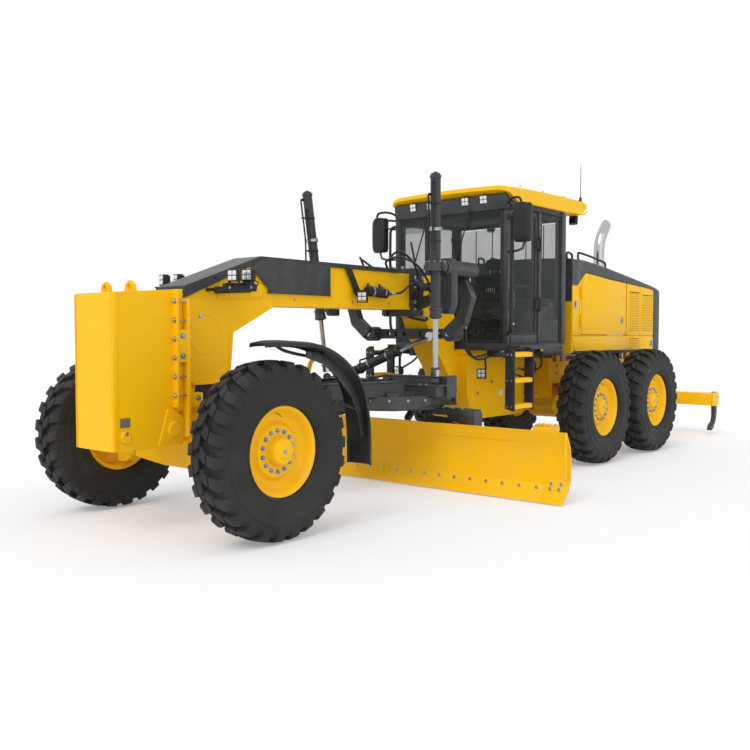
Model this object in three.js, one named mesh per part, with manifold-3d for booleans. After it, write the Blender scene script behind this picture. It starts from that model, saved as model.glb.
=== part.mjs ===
// Motor grader with a front push block, a square blade and a rear ripper.
// Millimetres, +Z up, the front of the machine towards -Y and its left side towards +X.
// Places are worked out from the ground point under the front axle, and the whole
// group is then moved so that the middle of its plan is at X = 0, Y = 0.
import * as THREE from "three";
import { mergeVertices } from "three/addons/utils/BufferGeometryUtils.js";
import Module from "manifold-3d";

const wasm = await Module();
wasm.setup();

// ---- driving dimensions ----
const wheelbase = 6160; // front axle to the tandem pivot
const tyreDiameter = 1390;
const tandemSpacing = tyreDiameter + 150; // between the two rear axles
const tyreWidth = 365;
const rimRadius = 340;
const frontTrack = 2143;
const rearTrack = 2155;
const bladeLength = 4270;
const circleRadius = 700;
const circleY = 2670; // the axis that the blade turns about
const beamHalf = 160; // half the width of the gooseneck
const cabHalf = 790; // half the width of the cab at its doors
const cabFrontY = 3820;
const cabRearY = 5110;
const cabFloorZ = 1470;
const cabRoofZ = 3060; // underside of the roof
const cabWall = 50; // thickness of posts and doors
const hoodHalf = 750;
const hoodFrontY = 5395;
const hoodRearY = 8070;
const hoodTopFrontZ = 2440;
const hoodTopRearZ = 2300;
const blockHalf = 255; // half the width of the push block
const blockFrontY = -850;
const ripperY = 9450; // the ripper's toolbar
const gap = 0.4; // between pieces that touch
const runGap = 6; // between pieces that move past each other
const detail = 0.42; // how finely round pieces are faceted

// ---- values that follow ----
const wheelZ = tyreDiameter / 2;
const tandemY = wheelbase;
const rearAxles = [tandemY - tandemSpacing / 2, tandemY + tandemSpacing / 2];
const frontWheelX = frontTrack / 2;
const rearWheelX = rearTrack / 2;

// ---- materials ----
const paint = (color, roughness, metalness = 0) =>
  new THREE.MeshStandardMaterial({ color, roughness, metalness });
const yellow = paint(0xf5b800, 0.4);
const charcoal = paint(0x3a3d40, 0.55);
const black = paint(0x1b1c1d, 0.7);
const rubber = paint(0x222222, 0.9);
const steel = paint(0x9a9c9e, 0.35, 1);
const chrome = paint(0xdfe1e3, 0.12, 1);

// ---- solids ----
// The closed body of a three.js geometry, for joining and cutting.
function solid(geometry) {
  const bare = geometry.index ? geometry.toNonIndexed() : geometry.clone();
  bare.deleteAttribute("normal");
  bare.deleteAttribute("uv");
  const merged = mergeVertices(bare, 0.001);
  const index = merged.index.array;
  const triangles = [];
  for (let i = 0; i < index.length; i += 3) {
    const [a, b, c] = [index[i], index[i + 1], index[i + 2]];
    if (a !== b && b !== c && c !== a) triangles.push(a, b, c);
  }
  const vertProperties = new Float32Array(merged.attributes.position.array);
  const triVerts = new Uint32Array(triangles);
  return new wasm.Manifold(new wasm.Mesh({ numProp: 3, vertProperties, triVerts }));
}

const join = (first, ...rest) => rest.flat().reduce((sum, s) => sum.add(s), first);
const intersect = (a, b) => a.intersect(b);
const cut = (first, ...rest) => rest.flat().reduce((left, s) => left.subtract(s), first);

// A box from its low corner to its high corner.
function box(x0, x1, y0, y1, z0, z1) {
  const shape = new THREE.BoxGeometry(x1 - x0, y1 - y0, z1 - z0);
  return solid(shape.translate((x0 + x1) / 2, (y0 + y1) / 2, (z0 + z1) / 2));
}

const facets = (sides) => Math.max(6, 2 * Math.round((sides * detail) / 2));
// A bored hole is this much wider at its corners, so that its flats clear a round pin.
const boreFactor = (sides) => 1 / Math.cos(Math.PI / facets(sides));

// A round bar between two points, which may narrow from one radius to another.
function bar(from, to, radius, endRadius = radius, sides = 20, start = 0) {
  const a = new THREE.Vector3(...from);
  const b = new THREE.Vector3(...to);
  const along = b.clone().sub(a);
  const shape = new THREE.CylinderGeometry(endRadius, radius, along.length(), facets(sides), 1,
    false, start);
  const turn = new THREE.Quaternion().setFromUnitVectors(
    new THREE.Vector3(0, 1, 0), along.clone().normalize());
  shape.applyQuaternion(turn);
  const middle = a.add(b).multiplyScalar(0.5);
  return solid(shape.translate(middle.x, middle.y, middle.z));
}

// A round bar along an axis, centred on a point.
function disc(axis, centre, radius, length, sides = 24, start = 0) {
  const from = [...centre];
  const to = [...centre];
  const k = "xyz".indexOf(axis);
  from[k] -= length / 2;
  to[k] += length / 2;
  return bar(from, to, radius, radius, sides, start);
}

// The material that a drill takes out, along an axis or between two points.
const bore = (axis, centre, radius, length, sides = 24) =>
  disc(axis, centre, radius * boreFactor(sides), length, sides, Math.PI / facets(sides));
const boreAlong = (from, to, radius, sides = 20) =>
  bar(from, to, radius * boreFactor(sides), radius * boreFactor(sides), sides, Math.PI / facets(sides));

// A ring along an axis.
function ring(axis, centre, outer, inner, length, sides = 24) {
  return cut(disc(axis, centre, outer, length, sides),
    bore(axis, centre, inner, length + 2, sides));
}

// An outline in the plane across an axis, pushed along that axis.
// Across x the outline holds (y, z), across y it holds (x, z), across z it holds (x, y).
function plate(axis, outline, from, to) {
  const shape = new THREE.Shape(outline.map(([u, v]) => new THREE.Vector2(u, v)));
  const body = new THREE.ExtrudeGeometry(shape, { depth: to - from, bevelEnabled: false });
  const place = new THREE.Matrix4();
  if (axis === "x") place.set(0, 0, 1, from, 1, 0, 0, 0, 0, 1, 0, 0, 0, 0, 0, 1);
  if (axis === "y") place.set(1, 0, 0, 0, 0, 0, -1, to, 0, 1, 0, 0, 0, 0, 0, 1);
  if (axis === "z") place.makeTranslation(0, 0, from);
  body.applyMatrix4(place);
  return solid(body);
}

// A flat bar of even width along a line of points, pushed along an axis.
function strip(axis, points, width, from, to) {
  const left = [];
  const right = [];
  points.forEach((p, i) => {
    const before = points[Math.max(i - 1, 0)];
    const after = points[Math.min(i + 1, points.length - 1)];
    const step = new THREE.Vector2(after[0] - before[0], after[1] - before[1]).normalize();
    left.push([p[0] - (step.y * width) / 2, p[1] + (step.x * width) / 2]);
    right.push([p[0] + (step.y * width) / 2, p[1] - (step.x * width) / 2]);
  });
  return plate(axis, [...left, ...right.reverse()], from, to);
}

// A round tube or rod along a smooth line.
function tube(points, radius, steps = 24, sides = 10, curved = true) {
  const list = points.map((p) => new THREE.Vector3(...p));
  let path = new THREE.CatmullRomCurve3(list, false, "centripetal");
  if (!curved) {
    path = new THREE.CurvePath();
    for (let i = 1; i < list.length; i++) path.add(new THREE.LineCurve3(list[i - 1], list[i]));
  }
  const outline = new THREE.Shape();
  for (let i = 0; i < sides; i++) {
    const t = (2 * Math.PI * i) / sides;
    outline[i ? "lineTo" : "moveTo"](radius * Math.cos(t), radius * Math.sin(t));
  }
  return solid(new THREE.ExtrudeGeometry(outline, { steps, extrudePath: path }));
}

// A turned solid about the x axis at a point. The profile holds (x, radius).
function turned(centre, profile, sides = 48) {
  const points = profile.map(([x, r]) => new THREE.Vector2(Math.max(r, 0), x));
  const shape = new THREE.LatheGeometry(points, sides);
  shape.rotateZ(-Math.PI / 2);
  let body = solid(shape.translate(...centre));
  if (body.volume() < 0) {
    const backwards = new THREE.LatheGeometry([...points].reverse(), sides);
    backwards.rotateZ(-Math.PI / 2);
    body = solid(backwards.translate(...centre));
  }
  return body;
}

// The same solid on the other side of the machine.
const mirrored = (body) => body.mirror([1, 0, 0]);
const both = (body) => [body, mirrored(body)];

// Rounded corners for an outline, each cut by a short arc.
function rounded(outline, radius, steps = 1) {
  const count = outline.length;
  const points = [];
  outline.forEach((corner, i) => {
    const c = new THREE.Vector2(...corner);
    const before = new THREE.Vector2(...outline[(i + count - 1) % count]).sub(c);
    const after = new THREE.Vector2(...outline[(i + 1) % count]).sub(c);
    const reach = Math.min(radius, before.length() / 2.2, after.length() / 2.2);
    const a = c.clone().addScaledVector(before.normalize(), reach);
    const b = c.clone().addScaledVector(after.normalize(), reach);
    for (let k = 0; k <= steps; k++) {
      const t = k / steps;
      const p = a.clone().lerp(c, t).lerp(c.clone().lerp(b, t), t);
      points.push([p.x, p.y]);
    }
  });
  return points;
}

// A hinge stands a little outside its wall: a pin held by a lug at each end, and a knuckle between them.
// The wall is at wallX on the left side, and reach is how far the knuckle's strap runs along it.
const pinOut = 22;
const pinRadius = 10;
const lugHeight = 25;
const hingePin = (wallX, y, low, high) => join(
  disc("z", [wallX + pinOut, y, (low + high) / 2], pinRadius, high - low, 16),
  [low, high - lugHeight].map((z) =>
    box(wallX - 5, wallX + pinOut + 11, y - 11, y + 11, z, z + lugHeight)));
function hingeKnuckle(wallX, y, low, high, reach) {
  const [z0, z1] = [low + lugHeight + gap, high - lugHeight - gap];
  const barrel = disc("z", [wallX + pinOut, y, (z0 + z1) / 2], pinRadius + 8, z1 - z0, 24);
  const strap = box(wallX - 5, wallX + pinOut - 4, Math.min(y, y + reach), Math.max(y, y + reach), z0, z1);
  const corner = box(wallX - 6, wallX + gap + 4, y - 19, y + 19, z0 - 1, z1 + 1);
  const hole = bore("z", [wallX + pinOut, y, (z0 + z1) / 2], pinRadius + gap, 800, 16);
  return cut(join(barrel, strap), corner, hole);
}

// ---- the machine ----
const machine = new THREE.Group();
machine.name = "motor_grader";

function add(name, body, material) {
  const { numProp, vertProperties, triVerts } = body.getMesh();
  const geometry = new THREE.BufferGeometry();
  const places = [];
  for (let i = 0; i < vertProperties.length; i += numProp) {
    places.push(...vertProperties.slice(i, i + 3));
  }
  geometry.setAttribute("position", new THREE.Float32BufferAttribute(places, 3));
  geometry.setIndex([...triVerts]);
  geometry.computeVertexNormals();
  const mesh = new THREE.Mesh(geometry, material);
  mesh.name = name;
  machine.add(mesh);
}

// ---- wheels ----
// A tyre with rounded shoulders and bulging side walls, about the x axis.
function tyre(name, x, y) {
  const r = tyreDiameter / 2;
  const w = tyreWidth / 2;
  const seat = rimRadius + 7.4;
  const profile = [
    [-w + 45, seat], [-w + 6, seat + 70], [-w, r - 150], [-w + 25, r - 35], [-w + 80, r],
    [w - 80, r], [w - 25, r - 35], [w, r - 150], [w - 6, seat + 70], [w - 45, seat], [-w + 45, seat],
  ];
  add(name, turned([x, y, wheelZ], profile, 24), rubber);
}

// A dished rim with its centre plate towards the outside and a hub in the middle.
// side is 1 on the left of the machine and -1 on its right.
function rim(name, x, y, side, hubReach) {
  const half = tyreWidth / 2 - 50;
  const face = half - 40;
  const profile = [
    [-half, rimRadius + 4], [half, rimRadius + 4], [half, rimRadius - 14],
    [face - 34, 230], [face - 34, 150], [hubReach, 118], [hubReach, 0],
    [face - 150, 0], [face - 150, 150], [face - 52, 160],
    [face - 30, rimRadius - 58], [-half + 8, rimRadius - 20], [-half, rimRadius + 4],
  ];
  const body = turned([0, 0, 0], profile, 16);
  const placed = side > 0 ? body : mirrored(body);
  add(name, placed.translate([x, y, wheelZ]), yellow);
}

const rimFace = tyreWidth / 2 - 90; // the outer face of a rim's centre plate, from the tyre's middle
const hubBack = rimFace - 150; // the inner end of a hub
const rearHubReach = rimFace + 20;
const frontHubReach = rimFace + 70;
for (const [side, hand] of [[1, "left"], [-1, "right"]]) {
  rearAxles.forEach((y, i) => {
    const place = i ? "rear" : "mid";
    tyre(`tyre_${place}_${hand}`, side * rearWheelX, y);
    rim(`rim_${place}_${hand}`, side * rearWheelX, y, side, rearHubReach);
  });
  tyre(`tyre_front_${hand}`, side * frontWheelX, 0);
  rim(`rim_front_${hand}`, side * frontWheelX, 0, side, frontHubReach);
}

// ---- rear half: frame, axle and tandem cases ----
const pivotY = 5260; // the joint between the front and rear halves
const pivotRadius = 70;
const railTopZ = 1230;
const railLowZ = wheelZ + 255;
const railOuter = 400;
const railInner = 330;
const rearFrameEnd = 8130;
const hitchPlate = 50; // thickness of the pivot plates
const hitchTopZ = 1280; // the upper pivot plate of the rear half
const hitchLowZ = 760;
const lugTop = [hitchTopZ - hitchPlate, hitchTopZ];
const lugLow = [hitchLowZ, hitchLowZ + hitchPlate];

function rearFrame() {
  const rail = box(railInner, railOuter, pivotY + 260, rearFrameEnd, railLowZ, railTopZ);
  const front = box(-railOuter, railOuter, pivotY + 200, pivotY + 290, lugLow[0], lugTop[1]);
  const lugs = [lugTop, lugLow].map(([low, high]) => join(
    plate("z", [[-260, pivotY + 220], [260, pivotY + 220], [110, pivotY], [-110, pivotY]], low, high),
    disc("z", [0, pivotY, (low + high) / 2], 110, high - low)));
  const pins = disc("z", [0, pivotY, (hitchLowZ + hitchTopZ) / 2], pivotRadius,
    hitchTopZ - hitchLowZ + 40);
  const crosses = [pivotY + 900, tandemY + 560, rearFrameEnd - 60].map((y) =>
    box(-railInner - 5, railInner + 5, y, y + 60, railLowZ + 20, railTopZ - 20));
  const rearPlate = box(-560, 560, rearFrameEnd - 60, rearFrameEnd, 640, railTopZ);
  const ears = [-ripperArmX, ripperArmX].flatMap((x) => [-1, 1].map((s) => {
    const middle = x + s * 60;
    return plate("x", rounded([
      [rearFrameEnd - 5, 640], [ripperPivotY + 60, 640], [ripperPivotY + 60, 800],
      [rearFrameEnd - 5, 860]], 40), middle - 15, middle + 15);
  }));
  const pinsLow = [-ripperArmX, ripperArmX].map((x) =>
    disc("x", [x, ripperPivotY, ripperPivotZ], 28, 150, 16));
  const upper = [-1, 1].map((s) => plate("x", rounded([
    [rearFrameEnd - 5, 1080], [ripperTopY + 40, 1120], [ripperTopY + 40, 1200],
    [rearFrameEnd - 5, 1225]], 30), s * 74 - 12, s * 74 + 12));
  const upperPin = disc("x", [0, ripperTopY, ripperTopZ], 25, 172, 16);
  add("rear_frame", join(rail, mirrored(rail), front, lugs, pins, crosses, rearPlate,
    ears, pinsLow, upper, upperPin), yellow);
}

const ripperArmX = 420;
const ripperPivotY = rearFrameEnd + 90;
const ripperPivotZ = 720;
const ripperTopY = rearFrameEnd + 80;
const ripperTopZ = 1160;
const axleTopZ = railLowZ - gap;

// The driving axle: a case across the machine that carries the rails and a tandem case at each end.
const tandemInner = 600;
const tandemOuter = rearWheelX - tyreWidth / 2 - 25;
function rearAxle() {
  const housing = disc("x", [0, tandemY, wheelZ], 170, 2 * tandemInner + 20, 24);
  const bowl = disc("x", [0, tandemY, wheelZ], 240, 420, 24);
  const saddles = [-1, 1].map((s) => box(s > 0 ? railInner : -railOuter, s > 0 ? railOuter : -railInner,
    tandemY - 150, tandemY + 150, wheelZ, axleTopZ));
  const outline = rounded([
    [rearAxles[0] - 210, wheelZ - 190], [rearAxles[1] + 210, wheelZ - 190],
    [rearAxles[1] + 210, wheelZ + 160], [tandemY + 250, wheelZ + 230],
    [tandemY - 250, wheelZ + 230], [rearAxles[0] - 210, wheelZ + 160]], 150);
  const tandem = plate("x", outline, tandemInner, tandemOuter);
  const hubs = rearAxles.map((y) => {
    const from = tandemOuter - 5;
    const to = rearWheelX + hubBack - gap;
    return disc("x", [(from + to) / 2, y, wheelZ], 130, to - from, 24);
  });
  const side = join(tandem, hubs);
  add("rear_axle", join(housing, bowl, saddles, side, mirrored(side)), yellow);
}

// ---- engine and hood ----
const hoodPanel = 40; // thickness of doors and walls
const hoodLowZ = 1350;
const doorFrontY = 5640;
const doorRearY = 6960;
const doorLowZ = 1580;
const doorTopZ = 2290;
const doorHingeY = doorFrontY - 20;
const doorHinges = [[1680, 1830], [2040, 2190]];
const hoodTopZ = (y) => hoodTopFrontZ
  + ((hoodTopRearZ - hoodTopFrontZ) * (y - hoodFrontY)) / (hoodRearY - hoodFrontY);

function engine() {
  const block = box(-railInner + 30, railInner - 30, doorFrontY + 60, doorRearY - 40, railTopZ + 60, 2080);
  const feet = [doorFrontY + 160, doorRearY - 240].map((y) =>
    box(-railOuter, railOuter, y, y + 120, railTopZ + gap, railTopZ + 70));
  add("engine_block", join(block, feet), steel);
}

// The hood's fixed walls, with an opening in each side for its door.
function hoodShell() {
  const wallTop = (y) => hoodTopZ(y) - 70;
  const side = [
    [hoodFrontY, hoodLowZ], [hoodRearY - 20, hoodLowZ], [hoodRearY, wallTop(hoodRearY) - 60],
    [hoodRearY - 60, wallTop(hoodRearY - 60)], [hoodFrontY, wallTop(hoodFrontY)]];
  const outer = plate("x", side, -hoodHalf, hoodHalf);
  const inner = plate("x", [
    [hoodFrontY + hoodPanel, hoodLowZ - 10], [hoodRearY - 120, hoodLowZ - 10],
    [hoodRearY - 120, wallTop(hoodRearY) + 80], [hoodFrontY + hoodPanel, wallTop(hoodFrontY) + 60]],
  -hoodHalf + hoodPanel, hoodHalf - hoodPanel);
  const doorway = box(-hoodHalf - 5, hoodHalf + 5, doorFrontY - runGap, doorRearY + runGap,
    doorLowZ - runGap, doorTopZ + 200);
  const sill = [-1, 1].map((s) => box(s > 0 ? railInner + 5 : -hoodHalf + 10,
    s > 0 ? hoodHalf - 10 : -railInner - 5, hoodFrontY + 10, hoodRearY - 40, hoodLowZ, hoodLowZ + 40));
  const legs = [hoodFrontY + 260, hoodRearY - 300].flatMap((y) => both(
    box(railInner + 5, railOuter, y, y + 100, railTopZ + gap, hoodLowZ + 20)));
  const rearGrille = box(-hoodHalf + 80, hoodHalf - 80, hoodRearY - 140, hoodRearY + 20,
    hoodLowZ + 120, wallTop(hoodRearY) - 160);
  const slots = [0, 1, 2, 3].map((i) => {
    const z = hoodLowZ + 190 + i * 130;
    return box(-hoodHalf + 140, hoodHalf - 140, hoodRearY - 150, hoodRearY + 30, z, z + 60);
  });
  const hinges = doorHinges.flatMap(([low, high]) => both(hingePin(hoodHalf, doorHingeY, low, high)));
  const shell = join(cut(outer, inner, doorway), sill, legs, rearGrille, hinges);
  add("hood_shell", cut(shell, slots), yellow);
}

// The sloped top cover, with a handrail along each side.
function hoodTop() {
  const low = (y) => hoodTopZ(y) - 70 + gap;
  const cover = plate("x", [
    [hoodFrontY, low(hoodFrontY)], [hoodRearY - 60, low(hoodRearY - 60)],
    [hoodRearY - 60, hoodTopZ(hoodRearY) - 12], [hoodFrontY, hoodTopZ(hoodFrontY)]], -hoodHalf, hoodHalf);
  const port = bore("z", [0, exhaustY, 2300], exhaustRadius + runGap, 600, 20);
  const railZ = hoodTopZ(doorFrontY) + 170;
  const rails = both(tube([
    [hoodHalf - 60, doorFrontY + 160, hoodTopZ(doorFrontY + 160) - 10],
    [hoodHalf - 60, doorFrontY + 160, railZ - 40], [hoodHalf - 60, doorFrontY + 220, railZ],
    [hoodHalf - 60, doorRearY - 300, railZ - 60], [hoodHalf - 60, doorRearY - 240, railZ - 110],
    [hoodHalf - 60, doorRearY - 240, hoodTopZ(doorRearY - 240) - 10]], 17, 10, 6));
  add("hood_top", join(cut(cover, port), rails), charcoal);
}

const exhaustY = 7640;
const exhaustRadius = 75;
function exhaust() {
  const line = [
    [0, exhaustY, railTopZ + 90], [0, exhaustY, 2000], [0, exhaustY, 2780], [0, exhaustY, 2900],
    [0, exhaustY + 60, 3060], [0, exhaustY + 190, 3190]];
  const pipe = tube(line, exhaustRadius, 9, 10);
  const bore = tube([[0, exhaustY, 2500], [0, exhaustY, 2900], [0, exhaustY + 60, 3060],
    [0, exhaustY + 200, 3200]], exhaustRadius - 6, 6, 10);
  const foot = box(-railInner - 40, railInner + 40, exhaustY - 60, exhaustY + 60,
    railTopZ + gap, railTopZ + 100);
  add("exhaust_stack", join(cut(pipe, bore), foot), chrome);
}

// A side door on a hinge along its front edge.
function engineDoor(name, side) {
  const panel = plate("x", rounded([
    [doorFrontY, doorLowZ], [doorRearY, doorLowZ], [doorRearY, doorTopZ - 60],
    [doorFrontY, doorTopZ]], 20), hoodHalf - hoodPanel, hoodHalf);
  const latches = [doorLowZ + 180, doorTopZ - 260].map((z) =>
    box(hoodHalf - 5, hoodHalf + 14, doorRearY - 130, doorRearY - 50, z, z + 90));
  const knuckle = doorHinges.map(([low, high]) => hingeKnuckle(hoodHalf, doorHingeY, low, high, 70));
  const door = join(panel, latches, knuckle);
  add(name, side > 0 ? door : mirrored(door), yellow);
}

rearFrame();
rearAxle();
engine();
hoodShell();
hoodTop();
exhaust();
engineDoor("engine_door_left", 1);
engineDoor("engine_door_right", -1);

// ---- ripper ----
const toolbarZ = 565;
const shankTipZ = 60;
const shankReach = 213; // how far a shank's back stands behind the toolbar's middle
function ripper() {
  const arm = (x) => cut(plate("x", rounded([
    [ripperPivotY - 40, ripperPivotZ - 50], [ripperY - 90, toolbarZ - 70], [ripperY - 90, toolbarZ + 80],
    [ripperY - 420, 758], [ripperPivotY - 40, ripperPivotZ + 55]], 40), x - 38, x + 38),
  bore("x", [x, ripperPivotY, ripperPivotZ], 28 + gap, 120, 16));
  const toolbar = box(-1120, 1120, ripperY - 100, ripperY + 100, toolbarZ - 100, toolbarZ + 95);
  const brace = box(-ripperArmX, ripperArmX, ripperY - 420, ripperY - 330, 640, 720);
  const shanks = [-1050, 0, 1050].map((x) => plate("x", rounded([
    [ripperY + 95, toolbarZ + 70], [ripperY + 190, toolbarZ + 70], [ripperY + shankReach, 370],
    [ripperY + shankReach, 300], [ripperY + 110, 130],
    [ripperY - 40, shankTipZ], [ripperY - 20, shankTipZ + 70],
    [ripperY + 70, 200], [ripperY + 95, 330]], 25), x - 32, x + 32));
  const lug = [-1, 1].map((s) => plate("x", rounded([
    [ripperY - 300, toolbarZ + 60], [ripperY + 60, toolbarZ + 60], [ripperY - 160, ripperEyeZ + 45],
    [ripperY - 260, ripperEyeZ + 45]], 30), s * 52 - 12, s * 52 + 12));
  const lugFoot = box(-64, 64, ripperY - 340, ripperY - 20, toolbarZ + 40, toolbarZ + 94);
  const web = box(-30, 30, ripperY - 380, ripperY - 90, toolbarZ + 40, 700);
  add("ripper", join(toolbar, arm(ripperArmX), arm(-ripperArmX), brace, web, lugFoot, lug, shanks), yellow);
}

const ripperEyeY = ripperY - 210;
const ripperEyeZ = 830;
// A cylinder's barrel and rod between two points, both with an eye across the x axis.
function barrelAndRod(names, base, end, { radius, rodRadius, share, eye, width, rodStart, slack }) {
  const a = new THREE.Vector3(...base);
  const b = new THREE.Vector3(...end);
  const along = b.clone().sub(a).normalize();
  const length = b.distanceTo(a);
  const at = (s) => a.clone().addScaledVector(along, s).toArray();
  const mouth = length * share;
  const baseEye = ring("x", base, eye + 22, eye + gap, width, 20);
  const shell = cut(bar(at(eye + 12), at(mouth), radius),
    boreAlong(at(eye + 40), at(mouth + 5), rodRadius + gap));
  const clear = bore("x", base, eye + gap, width + 60, 20);
  add(names[0], cut(join(shell, baseEye), clear), charcoal);
  const rod = bar(at(rodStart), at(length - eye - 12 - slack), rodRadius, rodRadius, 16);
  const rodEye = ring("x", end, eye + 20 + slack, eye + gap + slack, width, 16);
  add(names[1], join(rod, rodEye), chrome);
}

ripper();
barrelAndRod(["ripper_cylinder", "ripper_rod"], [0, ripperTopY, ripperTopZ], [0, ripperEyeY, ripperEyeZ],
  { radius: 55, rodRadius: 28, share: 0.72, eye: 25, width: 78, rodStart: 320, slack: 8 });

// ---- front half: frame ----
const frameTopZ = 2230; // top of the gooseneck under its cover
const coverThickness = 42;
const noseFrontY = -195;
const noseRearY = 360;
const ballY = 440; // the ball that the drawbar hangs on
const ballZ = 950;
const underCabHalf = 300;
const cabBaseZ = cabFloorZ - 60;
function frontFrame() {
  const beam = plate("x", [
    [noseFrontY + 5, 860], [noseRearY, 860], [noseRearY, 1260], [noseRearY + 30, 1602], [890, 1845],
    [3090, 1855], [3300, 1480], [3690, 990], [3906, 600], [4300, 600], [4300, cabBaseZ - 20],
    [3700, cabBaseZ - 20], [3700, 1800], [3250, frameTopZ], [727, frameTopZ],
    [-120, 1880], [noseFrontY + 5, 1872]], -beamHalf, beamHalf);
  const nosePlate = box(-blockHalf + 15, blockHalf - 15, noseFrontY, noseFrontY + 60, 720, 1872);
  const belly = plate("x", rounded([
    [3760, cabBaseZ - 20], [3760, 880], [3906, 600], [5000, 600], [5000, cabBaseZ - 20]], 60, 2),
  -underCabHalf, underCabHalf);
  const deck = box(-underCabHalf, underCabHalf, 3760, 5000, cabBaseZ - 60, cabBaseZ - gap);
  const clearance = 0.5;
  const leaves = [
    [lugTop[1] + clearance, lugTop[1] + hitchPlate], [lugTop[0] - hitchPlate, lugTop[0] - clearance],
    [lugLow[1] + clearance, lugLow[1] + hitchPlate], [lugLow[0] - hitchPlate, lugLow[0] - clearance],
  ].map(([low, high]) => cut(join(
    plate("z", [[-200, 4960], [200, 4960], [120, pivotY], [-120, pivotY]], low, high),
    disc("z", [0, pivotY, (low + high) / 2], 120, high - low)),
  bore("z", [0, pivotY, (low + high) / 2], pivotRadius + gap, 200, 24)));
  const socketPlates = [ballZ + 62 + gap, ballZ - 62 - gap - 34].map((z) =>
    plate("z", rounded([[-80, noseRearY - 5], [80, noseRearY - 5], [80, ballY + 50], [-80, ballY + 50]], 40),
      z, z + 34));
  const axlePads = [-100, 100].map((y) => box(-110, 110, y - 30, y + 30, 744 + gap, 880));
  add("front_frame", join(beam, nosePlate, belly, deck, leaves, socketPlates, axlePads), yellow);
}

function beamCover() {
  const t = coverThickness;
  const lift = gap;
  const cover = plate("x", [
    [-120, 1880 + lift], [727, frameTopZ + lift], [2670, frameTopZ + lift], [2670, frameTopZ + t],
    [715, frameTopZ + t + 2], [-120, 1980]], -beamHalf - 22, beamHalf + 22);
  const panel = both(plate("x", [[800, 1950], [1600, 1950], [1600, frameTopZ + 10], [1000, frameTopZ + 10]],
    beamHalf + gap, beamHalf + 22));
  add("beam_cover", join(cover, panel), charcoal);
}

function pushBlock() {
  const block = plate("x", [
    [blockFrontY, 690], [-420, 690], [-300, 900], [noseFrontY - gap, 1000],
    [noseFrontY - gap, 1946], [blockFrontY, 1900]], -blockHalf, blockHalf);
  const lugY = -620;
  const lugs = [165, -165].map((x) => cut(
    plate("y", rounded([[x - 70, 1890], [x + 70, 1890], [x + 45, 2000], [x - 45, 2000]], 35),
      lugY - 16, lugY + 16),
    disc("y", [x, lugY, 1955], 20, 60, 14)));
  const bevels = [plate("z", [
    [blockHalf + 1, blockFrontY - 1], [blockHalf + 1, blockFrontY + 24],
    [blockHalf - 24, blockFrontY - 1]], 600, 2050)];
  add("push_block", join(cut(block, bevels, bevels.map(mirrored)), lugs), yellow);
}

// ---- front axle ----
const leanX = 660; // the pins that the wheels lean about
const leanZ = wheelZ - 105;
const leanBarZ = wheelZ + 105;
const kingpinZ = wheelZ - 15;
const kingpinX = frontWheelX - 190;
const kingpinRadius = 40;
function frontAxle() {
  const beam = plate("y", [
    [-leanX + 60, leanZ - 80], [-180, 470], [180, 470], [leanX - 60, leanZ - 80], [leanX - 60, leanZ + 20],
    [leanX - 115, leanZ + 85], [180, 744], [-180, 744],
    [-leanX + 115, leanZ + 85], [-leanX + 60, leanZ + 20]],
  -75, 75);
  const forks = both(join(
    box(leanX - 70, leanX, -112, -60, leanZ - 60, leanZ + 60),
    box(leanX - 70, leanX, 60, 112, leanZ - 60, leanZ + 60),
    box(leanX - 70, leanX - 58, -112, 112, leanZ - 60, leanZ + 34),
    disc("y", [leanX, 86, leanZ], 60, 52, 20), disc("y", [leanX, -86, leanZ], 60, 52, 20)));
  const pins = both(disc("y", [leanX, 0, leanZ], 30, 230, 16));
  const pads = box(-110, 110, -132, 132, 700, 744);
  add("front_axle", join(beam, forks, pins, pads), yellow);
}

// The bracket that leans on the axle's pin and holds the kingpin, on the left side.
function leanBracket(name, side) {
  const reach = kingpinX - 66;
  const stem = plate("y", rounded([
    [leanX - 52, leanZ - 52], [reach, kingpinZ - 250], [reach, kingpinZ + 250], [leanX + 30, leanBarZ + 50],
    [leanX - 50, leanBarZ + 50], [leanX - 40, leanZ + 60]], 30), -52, 52);
  const ends = [[-240, -160], [160, 240]].map((span) => span.map((z) => kingpinZ + z));
  const fork = ends.map(([low, high]) => join(
    box(reach - 10, kingpinX, -52, 52, low, high),
    disc("z", [kingpinX, 0, (low + high) / 2], 60, high - low, 20)));
  const pin = disc("z", [kingpinX, 0, kingpinZ], kingpinRadius - 10, 500, 16);
  const topPin = disc("y", [leanX, 110, leanBarZ], 12, 180, 12);
  const collar = disc("y", [leanX, 98.3 - gap / 2, leanBarZ], 40, 93.4 - gap, 16);
  const relief = plate("z", [[reach + 1, 8], [reach + 1, 60], [reach - 52, 60]],
    kingpinZ - 150, kingpinZ + 156);
  const body = cut(join(cut(stem, relief), fork, pin, topPin, collar),
    bore("y", [leanX, 0, leanZ], 30 + gap, 300, 16));
  add(name, side > 0 ? body : mirrored(body), yellow);
}

function leanBar() {
  const y = 165;
  const rod = box(-leanX + 40, leanX - 40, y - 20, y + 20, leanBarZ - 24, leanBarZ + 24);
  const eyes = both(disc("y", [leanX, y, leanBarZ], 52, 40, 20));
  const holes = both(disc("y", [leanX, y, leanBarZ], 30, 80, 20));
  add("lean_bar", cut(join(rod, eyes), holes), charcoal);
}

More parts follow.
